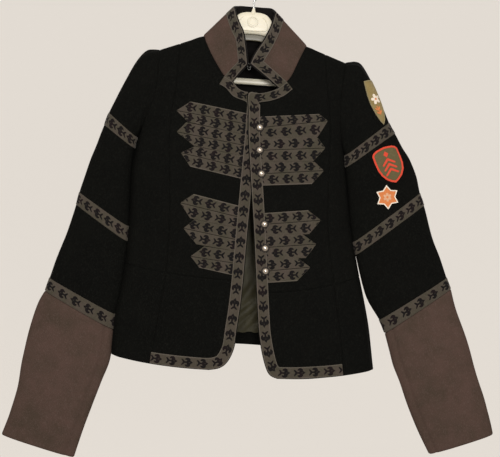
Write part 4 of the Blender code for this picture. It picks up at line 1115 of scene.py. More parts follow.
def lily(x, y):
    """The ribbon's motif, a small lily: a pointed petal, two that curl down, and a forked foot."""
    side = np.abs(x)
    solid = np.minimum.reduce([
        blob(x, y, ((0.0, 1.0, 1.8), (0.0, 3.6, 3.0), (0.0, 5.6, 2.8), (0.0, 7.8, 1.5),
                    (0.0, 10.0, 0.3))),
        blob(side, y, ((0.4, 1.0, 2.0), (2.4, 2.8, 2.7), (4.3, 3.2, 2.8), (5.5, 1.8, 2.6),
                       (5.9, 0.0, 2.1), (5.5, -1.7, 1.5), (4.6, -2.7, 0.9))),
        blob(x, y, ((0.0, 1.0, 1.7), (0.0, -3.0, 1.4), (0.0, -6.0, 1.5))),
        blob(side, y, ((0.3, -5.2, 1.5), (2.4, -6.9, 1.6), (4.5, -8.9, 1.0))),
    ])
    slits = np.minimum.reduce([
        blob(side, y, ((3.0, 6.2, 0.2), (3.8, 7.6, 0.6))),
        blob(x, y, ((0.0, 2.6, 0.12), (0.0, 4.4, 0.3), (0.0, 6.0, 0.12))),
    ])
    return np.maximum(solid, -slits)


def polygon_distance(x, y, outline):
    """Signed distance to an outline of points, negative inside it."""
    corners = np.array(outline, float)
    nearest = np.full(x.shape, 1e9)
    inside = np.zeros(x.shape, bool)
    for (ax, ay), (bx, by) in zip(corners, np.roll(corners, -1, axis=0)):
        dx, dy = bx - ax, by - ay
        share = np.clip(((x - ax) * dx + (y - ay) * dy) / (dx * dx + dy * dy), 0.0, 1.0)
        nearest = np.minimum(nearest, np.hypot(x - ax - share * dx, y - ay - share * dy))
        crosses = (ay > y) != (by > y)
        with np.errstate(divide="ignore", invalid="ignore"):
            beyond = x < ax + (y - ay) * dx / dy if dy else np.zeros(x.shape, bool)
        inside ^= crosses & beyond
    return np.where(inside, -nearest, nearest)


def flat_shape(distance, reach, cell):
    """Points and faces of the part of a plane where a distance is negative."""
    count = int(np.ceil(reach / cell))
    ticks = np.arange(-count, count + 1) * cell
    x, y = np.meshgrid(ticks, ticks, indexing="ij")
    value = distance(x, y)
    points, faces, numbers = [], [], {}

    def number(key, place):
        if key not in numbers:
            numbers[key] = len(points)
            points.append(place)
        return numbers[key]

    for i, j in zip(*np.nonzero(np.minimum.reduce([value[:-1, :-1], value[1:, :-1],
                                                   value[:-1, 1:], value[1:, 1:]]) < 0)):
        ring = ((i, j), (i + 1, j), (i + 1, j + 1), (i, j + 1))
        face = []
        for start, end in zip(ring, ring[1:] + ring[:1]):
            here, there = value[start], value[end]
            if here < 0:
                face.append(number(start, (x[start], y[start])))
            if (here < 0) != (there < 0):
                share = here / (here - there)
                key = (min(start, end), max(start, end))
                face.append(number(key, (x[start] + share * (x[end] - x[start]),
                                         y[start] + share * (y[end] - y[start]))))
        if len(face) > 2:
            faces.append(face)
    return np.array(points), faces


def skirt_edges(faces):
    edges = {}
    for face in faces:
        for start, end in zip(face, face[1:] + face[:1]):
            if (end, start) in edges:
                del edges[(end, start)]
            else:
                edges[(start, end)] = True
    return list(edges)


def applied_object(name, parts, top, foot):
    """Flat shapes sewn on a surface: the parts are (shape, places, normals) of each of them."""
    verts, polygons, uvs = [], [], []
    for (points, faces), places, facings in parts:
        first = len(verts)
        count = len(points)
        verts += ((places + facings * top) * MM).tolist()
        verts += ((places + facings * foot) * MM).tolist()
        for face in faces:
            polygons.append([first + k for k in face])
            uvs += [points[k] / UV_UNIT for k in face]
        for start, end in skirt_edges(faces):
            polygons.append([first + end, first + start, first + count + start,
                             first + count + end])
            uvs += [points[k] / UV_UNIT for k in (end, start, start, end)]
    mesh = bpy.data.meshes.new(name)
    mesh.from_pydata(verts, [], polygons)
    layer = mesh.uv_layers.new(name="UVMap")
    layer.data.foreach_set("uv", np.array(uvs, np.float32).reshape(-1))
    first_face = polygons[0]
    a, b, c = (np.array(verts[first_face[k]]) for k in range(3))
    if np.cross(b - a, c - a) @ parts[0][2][first_face[0]] < 0:
        mesh.flip_normals()
    mesh.shade_smooth()
    mesh.set_sharp_from_angle(angle=APPLIED_SHARP)
    return link(name, mesh)


def motif_parts(strip, starts, heading):
    """The motif along a strip, its head along it (1) or back along it (-1), cut at its ends."""
    half = strip.width / 2
    parts = []
    for start in starts:
        def cut_lily(x, y, start=start):
            low, high = strip.ends(heading * x / half)
            along = start + heading * y
            beyond = np.maximum(low - along, along - high) + MOTIF_INSET
            return lily(x, y) if strip.closed else np.maximum(lily(x, y), beyond)

        shape = flat_shape(cut_lily, MOTIF_REACH, MOTIF_CELL)
        if len(shape[0]) > MOTIF_LEAST_POINTS:
            along = start + heading * shape[0][:, 1]
            parts.append((shape, *strip.at(along, heading * shape[0][:, 0] / half)))
    return parts


def steps_from(first, pitch, low, high):
    """Places at an even pitch between two limits, one of them at the first place."""
    return first + pitch * np.arange(math.ceil((low - first) / pitch),
                                     math.floor((high - first) / pitch) + 1)


def even_steps(length, pitch):
    count = max(round(length / pitch), 1)
    return (np.arange(count) + 0.5) * length / count


class Look:
    """A material whose nodes are added one after another."""

    def __init__(self, name, colour, roughness, metallic=0.0, sheen=0.0, specular=0.5):
        self.material = bpy.data.materials.new(name)
        self.material.use_nodes = True
        self.tree = self.material.node_tree
        self.shader = self.tree.nodes["Principled BSDF"]
        self.height = None
        for socket, value in (("Base Color", (*colour, 1.0)), ("Roughness", roughness),
                              ("Metallic", metallic), ("Sheen Weight", sheen),
                              ("Specular IOR Level", specular)):
            self.set(socket, value)

    def set(self, socket, value):
        self.shader.inputs[socket].default_value = value

    def node(self, kind, values=(), **settings):
        made = self.tree.nodes.new(kind)
        for key, value in settings.items():
            setattr(made, key, value)
        for key, value in dict(values).items():
            made.inputs[key].default_value = value
        return made

    def join(self, start, end):
        self.tree.links.new(start, end)

    def coordinates(self, source="Object", stretch=(1.0, 1.0, 1.0), turn=0.0):
        place = self.node("ShaderNodeTexCoord")
        mapping = self.node("ShaderNodeMapping",
                            {"Scale": stretch, "Rotation": (0, 0, math.radians(turn))})
        self.join(place.outputs[source], mapping.inputs["Vector"])
        return mapping.outputs["Vector"]

    def noise(self, scale, detail=3.0, rough=0.6, stretch=(1.0, 1.0, 1.0)):
        made = self.node("ShaderNodeTexNoise",
                         {"Scale": scale, "Detail": detail, "Roughness": rough})
        self.join(self.coordinates(stretch=stretch), made.inputs["Vector"])
        return made.outputs["Fac"]

    def wave(self, scale, turn=0.0, distortion=0.4):
        """Rows of weave or stitch along the cloth, turned by an angle in degrees."""
        made = self.node("ShaderNodeTexWave", {"Scale": scale, "Distortion": distortion,
                                               "Detail": 1.0, "Detail Scale": 2.0})
        self.join(self.coordinates("UV", turn=turn), made.inputs["Vector"])
        return made.outputs["Fac"]

    def spread(self, value, low, high, to_low=0.0, to_high=1.0):
        made = self.node("ShaderNodeMapRange", {"From Min": low, "From Max": high,
                                                "To Min": to_low, "To Max": to_high})
        self.join(value, made.inputs["Value"])
        return made.outputs["Result"]

    def maths(self, operation, first, second):
        made = self.node("ShaderNodeMath", operation=operation)
        for socket, value in zip(made.inputs, (first, second)):
            if isinstance(value, float):
                socket.default_value = value
            else:
                self.join(value, socket)
        return made.outputs["Value"]

    def tint(self, share, colour):
        """Mixes another colour into the base colour where the share is high."""
        base = self.shader.inputs["Base Color"]
        made = self.node("ShaderNodeMix", data_type="RGBA")
        if base.is_linked:
            self.join(base.links[0].from_socket, made.inputs["A"])
        else:
            made.inputs["A"].default_value = base.default_value
        made.inputs["B"].default_value = (*colour, 1.0)
        self.join(share, made.inputs["Factor"])
        self.join(made.outputs["Result"], base)

    def mottle(self, colour, most, low, high, *noise, **stretch):
        """Patches of another colour where a noise goes from low to high."""
        self.tint(self.spread(self.noise(*noise, **stretch), low, high, 0.0, most), colour)

    def bump(self, height, depth_mm, strength):
        made = self.node("ShaderNodeBump", {"Strength": strength, "Distance": depth_mm * MM})
        self.join(height, made.inputs["Height"])
        if self.height:
            self.join(self.height, made.inputs["Normal"])
        self.height = made.outputs["Normal"]
        self.join(self.height, self.shader.inputs["Normal"])


def wool_look(name, colour, fleck, shade, nap):
    """Brushed wool: blotches of nap, pale and dark fibres, and a soft sheen."""
    look = Look(name, colour, 0.92, sheen=nap, specular=0.06)
    look.set("Sheen Roughness", 0.45)
    look.set("Sheen Tint", (*fleck, 1.0))
    look.mottle(shade, 0.75, 0.35, 0.7, 26.0, 4.0, 0.65)
    look.mottle(fleck, 0.5, 0.5, 0.75, 640.0, 2.0, 0.7, stretch=(1.0, 1.0, 0.6))
    look.bump(look.noise(150.0), 0.5, 0.35)
    look.bump(look.noise(700.0, 2.0, 0.7, (1.0, 1.0, 0.4)), 0.35, 0.6)
    return look.material


def ribbon_look(name):
    """Woven ribbon: ribs across, a paler line along each selvedge, and uneven dye."""
    look = Look(name, (0.047, 0.0385, 0.0285), 0.8, sheen=0.08, specular=0.2)
    look.mottle((0.036, 0.032, 0.020), 0.75, 0.42, 0.62, 38.0, 2.0)
    look.mottle((0.050, 0.036, 0.030), 0.6, 0.5, 0.7, 55.0, 2.0)
    look.mottle((0.082, 0.070, 0.056), 0.35, 0.5, 0.75, 320.0, 2.0, 0.7)
    apart = look.node("ShaderNodeSeparateXYZ")
    look.join(look.coordinates("UV"), apart.inputs["Vector"])
    across = look.maths("ABSOLUTE", apart.outputs["X"], 0.0)
    line = look.maths("MULTIPLY", look.spread(across, 0.083, 0.088),
                      look.spread(across, 0.098, 0.093))
    look.tint(look.maths("MULTIPLY", line, 0.3), (0.16, 0.14, 0.12))
    look.bump(look.wave(44.0, 90.0), 0.22, 0.6)
    look.bump(look.wave(44.0), 0.14, 0.5)
    return look.material


def motif_look(name):
    """The dark woven figures on the ribbon."""
    look = Look(name, (0.0042, 0.0036, 0.0038), 0.85, sheen=0.02, specular=0.1)
    look.mottle((0.014, 0.011, 0.010), 0.6, 0.5, 0.8, 300.0, 2.0)
    look.mottle((0.010, 0.005, 0.006), 0.5, 0.5, 0.65, 45.0, 2.0)
    look.bump(look.wave(46.0, 45.0), 0.15, 0.6)
    return look.material


def lining_look(name):
    """Satin lining with a soft gloss and fine creases."""
    look = Look(name, (0.042, 0.0375, 0.0190), 0.5, specular=0.2)
    look.mottle((0.020, 0.0180, 0.0095), 0.7, 0.35, 0.7, 18.0, 4.0)
    look.bump(look.noise(42.0, 4.0, 0.6, (1.0, 1.0, 0.5)), 1.6, 0.4)
    look.bump(look.wave(60.0, 90.0), 0.08, 0.4)
    return look.material


def facing_look(name):
    """Dull dark cloth inside the neck."""
    look = Look(name, (0.0034, 0.0028, 0.0027), 0.85, sheen=0.02, specular=0.12)
    look.mottle((0.008, 0.0065, 0.006), 0.5, 0.45, 0.75, 60.0)
    look.bump(look.noise(90.0), 0.8, 0.4)
    look.bump(look.wave(50.0, 60.0), 0.12, 0.5)
    return look.material


def pewter_look(name):
    """Cast metal: uneven polish, with a darker bloom in patches."""
    look = Look(name, (0.50, 0.44, 0.375), 0.25, 1.0)
    look.mottle((0.27, 0.23, 0.19), 0.5, 0.45, 0.7, 240.0, 4.0)
    rough = look.spread(look.noise(400.0), 0.35, 0.75, 0.2, 0.38)
    look.join(rough, look.shader.inputs["Roughness"])
    look.bump(look.noise(300.0), 0.1, 0.4)
    return look.material


def rim_and_shadow_look(name):
    """The blackened back plate that shows round a button's dome; its near-black colour is partly
    painted contact shadow round the dome.
    """
    look = Look(name, (0.007, 0.005, 0.004), 0.65, specular=0.25)
    look.mottle((0.016, 0.011, 0.008), 0.6, 0.5, 0.75, 260.0)
    look.bump(look.noise(350.0), 0.1, 0.4)
    return look.material


def plastic_look(name, colour, shade):
    """Moulded plastic, a little yellowed, with fine mould grain."""
    look = Look(name, colour, 0.34)
    look.set("Subsurface Weight", 0.08)
    look.set("Subsurface Radius", (0.004, 0.003, 0.002))
    look.set("Coat Weight", 0.15)
    look.set("Coat Roughness", 0.25)
    look.mottle(shade, 0.5, 0.4, 0.75, 14.0)
    look.bump(look.noise(60.0, 2.0), 0.15, 0.2)
    look.bump(look.noise(1100.0, 2.0), 0.04, 0.5)
    return look.material


def wire_look(name, colour, roughness):
    """Drawn wire with fine streaks along it."""
    look = Look(name, colour, roughness, 1.0)
    look.mottle((0.16, 0.16, 0.16), 0.4, 0.5, 0.8, 180.0)
    look.bump(look.noise(300.0, stretch=(1.0, 1.0, 0.2)), 0.06, 0.4)
    return look.material


def thread_look(name, colour, shade, turn, pale=None):
    """Embroidery: rows of satin stitch that lie at an angle, with painted shade in the dips between
    the rows.
    """
    look = Look(name, colour, 0.6, sheen=0.08, specular=0.25)
    rows = look.wave(34.0, turn, 1.2)
    # The darker colour fills the dips between the stitch rows: painted shade in the bump's grooves.
    look.tint(look.spread(rows, 0.0, 0.45, 0.7, 0.0), shade)
    look.mottle(pale or shade, 0.4, 0.5, 0.75, 200.0)
    look.bump(rows, 0.35, 0.8)
    return look.material


# Looks: for each material how it is made, and its own colours, angle of stitch or roughness. A
# thread look's second colour is painted shade between its stitch rows, and also random darker
# patches where it has no pale colour.
LOOKS = {
    "black_wool": (wool_look, (0.0021, 0.0022, 0.0018), (0.012, 0.0125, 0.0105),
                   (0.0013, 0.0014, 0.0012), 0.003),
    "mauve_wool": (wool_look, (0.061, 0.038, 0.031), (0.095, 0.068, 0.060),
                   (0.036, 0.027, 0.019), 0.06),
    "ribbon": (ribbon_look,),
    "motif": (motif_look,),
    "lining": (lining_look,),
    "dark_facing": (facing_look,),
    "pewter": (pewter_look,),
    # The buttons' rims: near-black, partly painted contact shadow round the domes.
    "dark_pewter": (rim_and_shadow_look,),
    "ivory_plastic": (plastic_look, (0.60, 0.565, 0.46), (0.55, 0.51, 0.38)),
    # The lip: the ivory plastic darkened to olive as painted shade under the plate.
    "shaded_plastic": (plastic_look, (0.075, 0.064, 0.034), (0.055, 0.048, 0.024)),
    "steel_wire": (wire_look, (0.56, 0.57, 0.57), 0.28),
    "dark_wire": (wire_look, (0.10, 0.10, 0.095), 0.4),
    # Threads: the second colour is painted shade between the stitch rows.
    "red_thread": (thread_look, (0.62, 0.055, 0.022), (0.40, 0.030, 0.015), 20.0),
    "olive_twill": (thread_look, (0.100, 0.080, 0.031), (0.058, 0.048, 0.020), 55.0,
                    (0.14, 0.115, 0.05)),
    "orange_thread": (thread_look, (0.60, 0.19, 0.055), (0.42, 0.12, 0.035), -35.0),
    "pale_thread": (thread_look, (0.62, 0.36, 0.22), (0.52, 0.24, 0.11), 25.0),
    "white_thread": (thread_look, (0.78, 0.70, 0.60), (0.55, 0.46, 0.36), 70.0),
    "khaki_thread": (thread_look, (0.24, 0.20, 0.10), (0.15, 0.12, 0.06), 65.0),
    "khaki_cloth": (thread_look, (0.23, 0.170, 0.058), (0.15, 0.11, 0.042), 40.0,
                    (0.30, 0.235, 0.10)),
}


def raised(points, relief):
    """A panel of the body with its relief, and the normals of the new surface."""
    points = points + grid_normals(points, body_inside(points)) * relief[..., None]
    return points, grid_normals(points, body_inside(points))


def flat_blend(normals, share):
    """Turns the normals into the plane of the fold as far as the share says."""
    flat = normals.copy()
    flat[..., 1] = 0.0
    return unit(normals * (1 - share)[..., None] + unit(flat) * share[..., None])


def past_underarm(rows):
    """0 above the underarm and 1 below it, as a column."""
    underarm = row_of("underarm")
    return ramp(rows, underarm - UNDERARM_EASE, underarm)[:, None]


def front_surface(side, rows, columns):
    """A front's finished surface at the given rows and columns, with its normals."""
    points = sample(front_grid(side), rows, columns)
    width = CENTRE_PANEL_COLUMNS + len(SIDE_PANEL_FRACTIONS)
    x_wave, y_wave, z_wave, height = FRONT_WAVES
    relief = height * noise(points, (x_wave, y_wave, z_wave), 3 + side)
    relief += FINE_SHARE * height * noise(points, (x_wave / 3, y_wave, z_wave / 3), 7 + side)
    relief -= creases(points, CREASES)
    free = ramp(columns, 0.0, 2.5) * (1 - ramp(columns, width - 1.6, width - 0.3))
    points, normals = raised(points, relief * free * ramp(rows, 0.3, 2.5)[:, None])
    sides = past_underarm(rows) * ramp(columns, width - SIDE_EASE, width)
    points[..., 0] += side * SIDE_PUSH * sides
    top = (1 - ramp(rows, 0.0, TOP_EASE))[:, None]
    return points, flat_blend(normals, np.maximum(sides, top))


def back_surface(rows, columns):
    """The back's finished surface at the given rows and columns, with its normals."""
    grid = back_grid()
    width = grid.shape[1] - 1
    points = sample(grid, rows, columns)
    relief = BACK_SHARE * FRONT_WAVES[3] * noise(points, FRONT_WAVES[:3], 11)
    free = ramp(columns, 0.3, 2.0) * (1 - ramp(columns, width - 2.0, width - 0.3))
    points, normals = raised(points, relief * free * ramp(rows, 0.3, 3.0)[:, None])
    below = past_underarm(rows)
    right_end, left_end = 1 - ramp(columns, 0.0, SIDE_EASE), ramp(columns, width - SIDE_EASE, width)
    points[..., 0] += SIDE_PUSH * below * (left_end - right_end)
    shoulder = np.maximum(1 - ramp(columns, 2.4, 3.0), ramp(columns, width - 3.0, width - 2.4))
    top = (1 - ramp(rows, 0.0, TOP_EASE))[:, None] * shoulder
    return points, flat_blend(normals, np.maximum(below * np.maximum(right_end, left_end), top))


def sleeve_surface(coarse, rows, columns, side, waves, push, lines, tuck=0.0):
    """A sleeve's or cuff's finished surface, pressed on the body where it hangs beside it."""
    points = sample(coarse, rows, columns, closed=True)
    middles = points.mean(axis=1, keepdims=True)
    normals = grid_normals(points, middles, closed=True)
    x_wave, y_wave, z_wave, height = waves
    relief = height * (noise(points, (x_wave, y_wave, z_wave), 23 + side) - 0.25)
    relief += 0.4 * height * (noise(points, (x_wave / 2.6, y_wave / 2, z_wave / 2.6), 29) - 0.3)
    relief -= creases(points, lines)
    last = len(coarse) - 1
    turn = np.cos(columns * 2 * math.pi / coarse.shape[1])
    free = 0.25 + 0.75 * (1 + turn) / 2
    ends = (ramp(rows, 0.0, 2.0) * (1 - 0.7 * ramp(rows, last - 1.0, last)))[:, None]
    points = points + normals * (relief * free * ends)[..., None]
    points[..., 0] -= side * tuck * (1 - ramp(rows, 0.0, SLEEVE_TUCK_ROWS))[:, None]
    start, full, fade, end = push
    near_body = ramp(rows, start, full) * (1 - ramp(rows, fade, end))
    points[..., 0] -= side * SLEEVE_PUSH * near_body[:, None] * ((1 - turn) / 2) ** 4
    return points, grid_normals(points, middles, closed=True)


def add_fronts(looks):
    """Four panels for each front; returns the fronts' skins."""
    skins = {}
    waist, last = row_of("waist"), row_of("hem")
    seam = CENTRE_PANEL_COLUMNS
    width = seam + len(SIDE_PANEL_FRACTIONS)
    for side, name in SIDE_NAMES.items():
        for panel, rows, columns in (("front_centre", (0, waist), (0, seam)),
                                     ("front_side", (0, waist), (seam, width)),
                                     ("peplum_front", (waist, last), (0, seam)),
                                     ("peplum_side", (waist, last), (seam, width))):
            surface = front_surface(side, spread(*rows), spread(*columns))
            add_cloth(f"{name}_{panel}_cloth", surface, looks, "black_wool", [f"{name}_{panel}"])
        rows, columns = spread(0, last, 5, False), spread(0, width, 6, False)
        skins[side] = Skin(*front_surface(side, rows, columns))
    return skins


def add_back(looks):
    """Four panels above the waist seam and four below it, the lining and the neck facing."""
    waist, last = row_of("waist"), row_of("hem")
    width = BACK_SPLITS[-1]
    for part, rows in (("back", (0, waist)), ("back_peplum", (waist, last))):
        for name, *split in zip(BACK_PANELS, BACK_SPLITS, BACK_SPLITS[1:]):
            surface = back_surface(spread(*rows), spread(*split, 9))
            add_cloth(f"{part}_{name}_cloth", surface, looks, "black_wool",
                      [part] if split[0] == 0 else [])
    rows = spread(LINING_ROWS[0], last + LINING_ROWS[1], 8, False)
    columns = spread(LINING_COLUMNS[0], width + LINING_COLUMNS[1], 8, False)
    points, normals = back_surface(rows, columns)
    waves = noise(points @ np.array(LINING_SLANT), LINING_WAVES[:3], 41)
    relief = LINING_WAVES[3] * (waves + 1) / 2
    seam_z, seam_depth, seam_reach = LINING_SEAM
    relief += seam_depth * np.exp(-((points[..., 2] - seam_z) / seam_reach) ** 2)
    lining = points - normals * (relief + creases(points, LINING_CREASES))[..., None]
    add_cloth("back_lining_cloth", (lining, grid_normals(lining, body_inside(lining))), looks,
              "lining", ["back_lining"], -WOOL - 0.5, 0.7, dip=0.0)
    facing = back_surface(spread(0, NECK_FACING_ROWS - 1, 6, False), spread(4, width - 4, 6, False))
    add_cloth("neck_facing_cloth", facing, looks, "dark_facing", ["neck_facing"], -WOOL - 0.3, 0.8,
              dip=0.0)


def add_sleeves(looks, fronts, back):
    """Sleeves and cuffs with their ribbon bands; returns the left sleeve's skin and grid."""
    for side, name in SIDE_NAMES.items():
        ring = armhole_ring(fronts[side], back, 0 if side == RIGHT else -1)
        coarse, coarse_normals = sleeve_grid(side, SLEEVE_RINGS[side], SLEEVE_DEPTHS,
                                             SLEEVE_GATHERS, ring)
        count = coarse.shape[1]
        columns = np.arange(count * SLEEVE_STEPS_ROUND) / SLEEVE_STEPS_ROUND
        surface = sleeve_surface(coarse, spread(0, len(coarse) - 1, 6), columns, side,
                                 SLEEVE_WAVES, SLEEVE_PUSH_ROWS[side], SLEEVE_CREASES, SLEEVE_TUCK)
        add_cloth(f"{name}_sleeve_cloth", surface, looks, "black_wool", [f"{name}_sleeve"],
                  closed=True)
        skin = Skin(*surface, closed=True)
        for band, (first, pitch) in BANDS.items():
            strip = Strip(coarse[first], coarse[first + 1], skin, closed=True)
            rows = [(strip, even_steps(strip.length, pitch), -1)]
            add_ribbon(f"{name}_{band}_band", rows, looks)
        cuff, _ = sleeve_grid(side, CUFF_RINGS[side], CUFF_DEPTHS)
        points, normals = sleeve_surface(cuff, spread(0, len(cuff) - 1, 10), columns, side,
                                         CUFF_WAVES, CUFF_PUSH_ROWS[side], CUFF_CREASES)
        seam = np.exp(-((columns - CUFF_SEAM * count) * CUFF_SEAM_NARROW) ** 2)
        points = points - normals * (CUFF_SEAM_DEPTH * seam)[None, :, None]
        add_cloth(f"{name}_cuff_cloth", (points, normals), looks, "mauve_wool", [f"{name}_cuff"],
                  closed=True)
    return skin, coarse, coarse_normals


def add_ribbon(name, rows, looks, thickness=RIBBON_THICK):
    """Lengths of ribbon sewn on as one piece: rows are (strip, places of its motifs, heading)."""
    lengths = [strip_object(f"{name}_length", strip, thickness) for strip, _, _ in rows]
    ribbon = join_objects(f"{name}_ribbon", lengths)
    place_piece(ribbon, looks["ribbon"], "ribbon", name)
    parts = []
    for strip, places, heading in rows:
        parts += motif_parts(strip, places, heading)
    top = RIBBON_LAY + thickness + MOTIF_LIFT
    motifs = applied_object(f"{name}_motifs", parts, top, top - 2 * MOTIF_LIFT)
    place_piece(motifs, looks["motif"], "ribbon")
    lengths = [(strip.cuts[1] - strip.cuts[0]).mean() for strip, _, _ in rows]


def join_objects(name, things):
    form = bmesh.new()
    for thing in things:
        mesh = thing.data
        form.from_mesh(mesh)
        bpy.data.objects.remove(thing)
        bpy.data.meshes.remove(mesh)
    mesh = bpy.data.meshes.new(name)
    form.to_mesh(mesh)
    form.free()
    return link(name, mesh)


def lay_flat(plan):
    """Points of the XZ plane as points of space, before the body."""
    return np.stack([plan[:, 0], np.full(len(plan), LINE_DEPTH), plan[:, 1]], axis=1)


def finer_line(points, steps):
    """A smooth line through points, with a number of steps between each two."""
    points = np.array(points, float)
    wanted = np.linspace(0, len(points) - 1, (len(points) - 1) * steps + 1)
    return sample(np.stack([points, points], axis=1), wanted, [0.0])[:, 0]


def add_front_trim(side, skin, looks):
    """The ribbon along a front's keyhole, front edge and hem."""
    grid = front_grid(side)
    start = row_of("mitre")
    corner = row_of("front top")
    edge = np.concatenate([grid[start:, 0], grid[-1, 1:CENTRE_PANEL_COLUMNS + 1]])[:, [0, 2]]
    widths = np.full(len(edge), RIBBON_WIDTH)
    widths[:corner - start] = NECK_RIBBON_WIDTH
    lines = [offset_line(edge, side * wide)
             for wide in (np.full(len(edge), TRIM_INSET), widths)]
    lines = [lay_flat(finer_line(line, TRIM_STEPS)) for line in lines]
    strip = Strip(*lines, skin, True)
    middle = (strip.edge + strip.inner) / 2
    first_z, pitch, heading = TRIM_MOTIFS[side]
    down = slice(TRIM_STEPS * (corner - start), TRIM_STEPS * (row_of("hip") - start))
    first = np.interp(-first_z, -middle[down, 2], strip.runs[down])
    places = steps_from(first, pitch, -4.0, strip.length + 4.0)
    add_ribbon(f"{SIDE_NAMES[side]}_front_trim", [(strip, places, heading)], looks,
               TRIM_THICK)


def add_frogs(side, skin, looks):
    """Six double ribbons: each runs out to its pointed tip and back."""
    line = front_grid(side)[row_of("front top"):row_of("hip") + 1, 0][:, [0, 2]]
    line = offset_line(line, side * np.full(len(line), TRIM_INNER))
    pitch = FROG_PITCH[side]
    for number, frog in enumerate(FROGS[side], 1):
        top, low, tip, tip_z, top_corner, top_z, low_corner, low_z = frog
        starts = [np.array([np.interp(-z, -line[:, 1], line[:, 0]), z])
                  for z in (top - FROG_SEAM / 2, (top + low) / 2, low + FROG_SEAM / 2)]
        ends = [np.array([side * across, z])
                for across, z in ((top_corner, top_z), (tip, tip_z), (low_corner, low_z))]
        heading = unit(ends[1] - starts[1])
        rows = []
        for pair, turn, first in zip(((0, 1), (1, 2)), (1, -1), FROG_MOTIFS[side]):
            spans = [((starts[k] - starts[1]) @ heading, (ends[k] - starts[1]) @ heading)
                     for k in pair]
            begin = min(span[0] for span in spans) - FROG_TUCK - RIBBON_STEP
            runs = np.arange(begin, max(span[1] for span in spans) + RIBBON_STEP, RIBBON_STEP)
            lines = []
            for k, (from_run, to_run) in zip(pair, spans):
                share = (runs - from_run) / (to_run - from_run)
                gap = FROG_GAP * turn if k == 1 else 0.0
                lines.append(lay_flat(starts[k] + share[:, None] * (ends[k] - starts[k])
                                      + np.array([0.0, gap])))
            cuts = ([span[0] - FROG_TUCK - begin for span in spans],
                    [span[1] - begin for span in spans])
            above = 1.0 if turn > 0 and number in (1, 4) else FROG_INNER_EDGE
            below = 1.0 if turn < 0 and number in (3, 6) else FROG_INNER_EDGE
            strip = Strip(*lines, skin, True, cuts=cuts, selvedges=(-above, below))
            rows.append((strip, steps_from(first - begin, pitch, -8.0, strip.length + 8.0), turn))
        add_ribbon(f"{SIDE_NAMES[side]}_frog_{number}", rows, looks)


def add_collar(looks, fronts, back):
    """The standing collar, its facing, and the ribbon up its ends and along its top."""
    coarse, _ = collar_grid(fronts, back)
    coarse[0] -= unit(coarse[1] - coarse[0]) * COLLAR_TUCK
    last_row, last = len(coarse) - 1, coarse.shape[1] - 1
    points = sample(coarse, spread(0, last_row, 8), spread(0, last, 7))
    middle = points * np.array([0.0, 0.0, 1.0])
    relief = COLLAR_WAVES[3] * noise(points, COLLAR_WAVES[:3], 53)
    relief = relief * (1 - np.exp(-(edge_distances(points) / 8.0) ** 2))
    points = points + grid_normals(points, middle) * relief[..., None]
    normals = grid_normals(points, middle)
    surface = (points, normals)
    add_cloth("collar_cloth", surface, looks, "mauve_wool", ["collar"], thickness=COLLAR_WALL)
    edge, out = (np.concatenate([grid[:, 0], grid[-1, 1:-1], grid[::-1, -1]])
                 for grid in surface)
    hem = rings_object("collar_edge", tube_rings(edge - out * COLLAR_WALL / 2,
                                                 COLLAR_WALL / 2 + ROLLED_EDGE, 10))
    place_piece(hem, looks["dark_facing"], "dark_facing")
    add_cloth("collar_facing_cloth", surface, looks, "dark_facing", ["collar_facing"],
              -COLLAR_WALL - 0.1, 0.9, dip=0.0)
    trim_row = last_row - 2
    up = np.linspace(0.0, last_row, 24)
    up_inner = np.interp(up, (0.0, 1.0, last_row), (0.0, 1.0, trim_row))
    along = np.linspace(0.0, last, 8 * last)[1:-1]
    along_inner = np.interp(along, (0.0, 2.0, last - 2.0, last), (1.0, 2.0, last - 2.0, last - 1.0))
    lines = [np.array([sample(coarse, [r], [c])[0, 0] for r, c in
                       [(r, inset) for r in rise] + [(top, c) for c in run]
                       + [(r, last - inset) for r in rise[::-1]]])
             for rise, run, top, inset in ((up, along, last_row, 0.0),
                                           (up_inner, along_inner, trim_row, 1.0))]
    strip = Strip(*lines, Skin(*surface))
    add_ribbon("collar_trim", [(strip, even_steps(strip.length, COLLAR_PITCH), 1)], looks)


def turned_rings(profile, sides):
    """Rings of a turned form about Z from (radius, height) rows."""
    angles = np.arange(sides) * 2 * math.pi / sides
    return np.array([np.stack([radius * np.cos(angles), radius * np.sin(angles),
                               np.full(sides, height)], axis=1) for radius, height in profile])


def rings_object(name, rings, closed=False):
    """A skin over closed rings of points; open ends get a face each."""
    count, sides = rings.shape[:2]
    ring, side = np.meshgrid(np.arange(count if closed else count - 1), np.arange(sides),
                             indexing="ij")
    here, following = ring * sides, (ring + 1) % count * sides
    beside = (side + 1) % sides
    corners = np.stack([here + side, here + beside, following + beside, following + side], axis=-1)
    faces = corners.reshape(-1, 4).tolist()
    if not closed:
        faces += [list(range(sides))[::-1], [(count - 1) * sides + k for k in range(sides)]]
    mesh = bpy.data.meshes.new(name)
    mesh.from_pydata((rings.reshape(-1, 3) * MM).tolist(), [], faces)
    form = bmesh.new()
    form.from_mesh(mesh)
    bmesh.ops.recalc_face_normals(form, faces=form.faces)
    form.to_mesh(mesh)
    form.free()
    mesh.shade_smooth()
    mesh.set_sharp_from_angle(angle=TURNED_SHARP)
    return link(name, mesh)


def tube_rings(route, radius, sides, rounded=True):
    """Rings round a route of points, with rounded ends."""
    tangents = unit(np.gradient(route, axis=0))
    across = np.cross(tangents[0], np.array([0.3, 1.0, 0.2]))
    angles = np.arange(sides)[:, None] * 2 * math.pi / sides
    circles = []
    for tangent in tangents:
        across = unit(across - tangent * (across @ tangent))
        circles.append(np.cos(angles) * across + np.sin(angles) * np.cross(tangent, across))

    def cap(end, outwards, turns):
        return [route[end] + outwards * tangents[end] * radius * math.sin(turn)
                + circles[end] * radius * math.cos(turn) for turn in turns]

    turns = CAP_ANGLES if rounded else ()
    return np.array(cap(0, -1, turns)
                    + [place + circle * radius for place, circle in zip(route, circles)]
                    + cap(-1, 1, turns[::-1]))


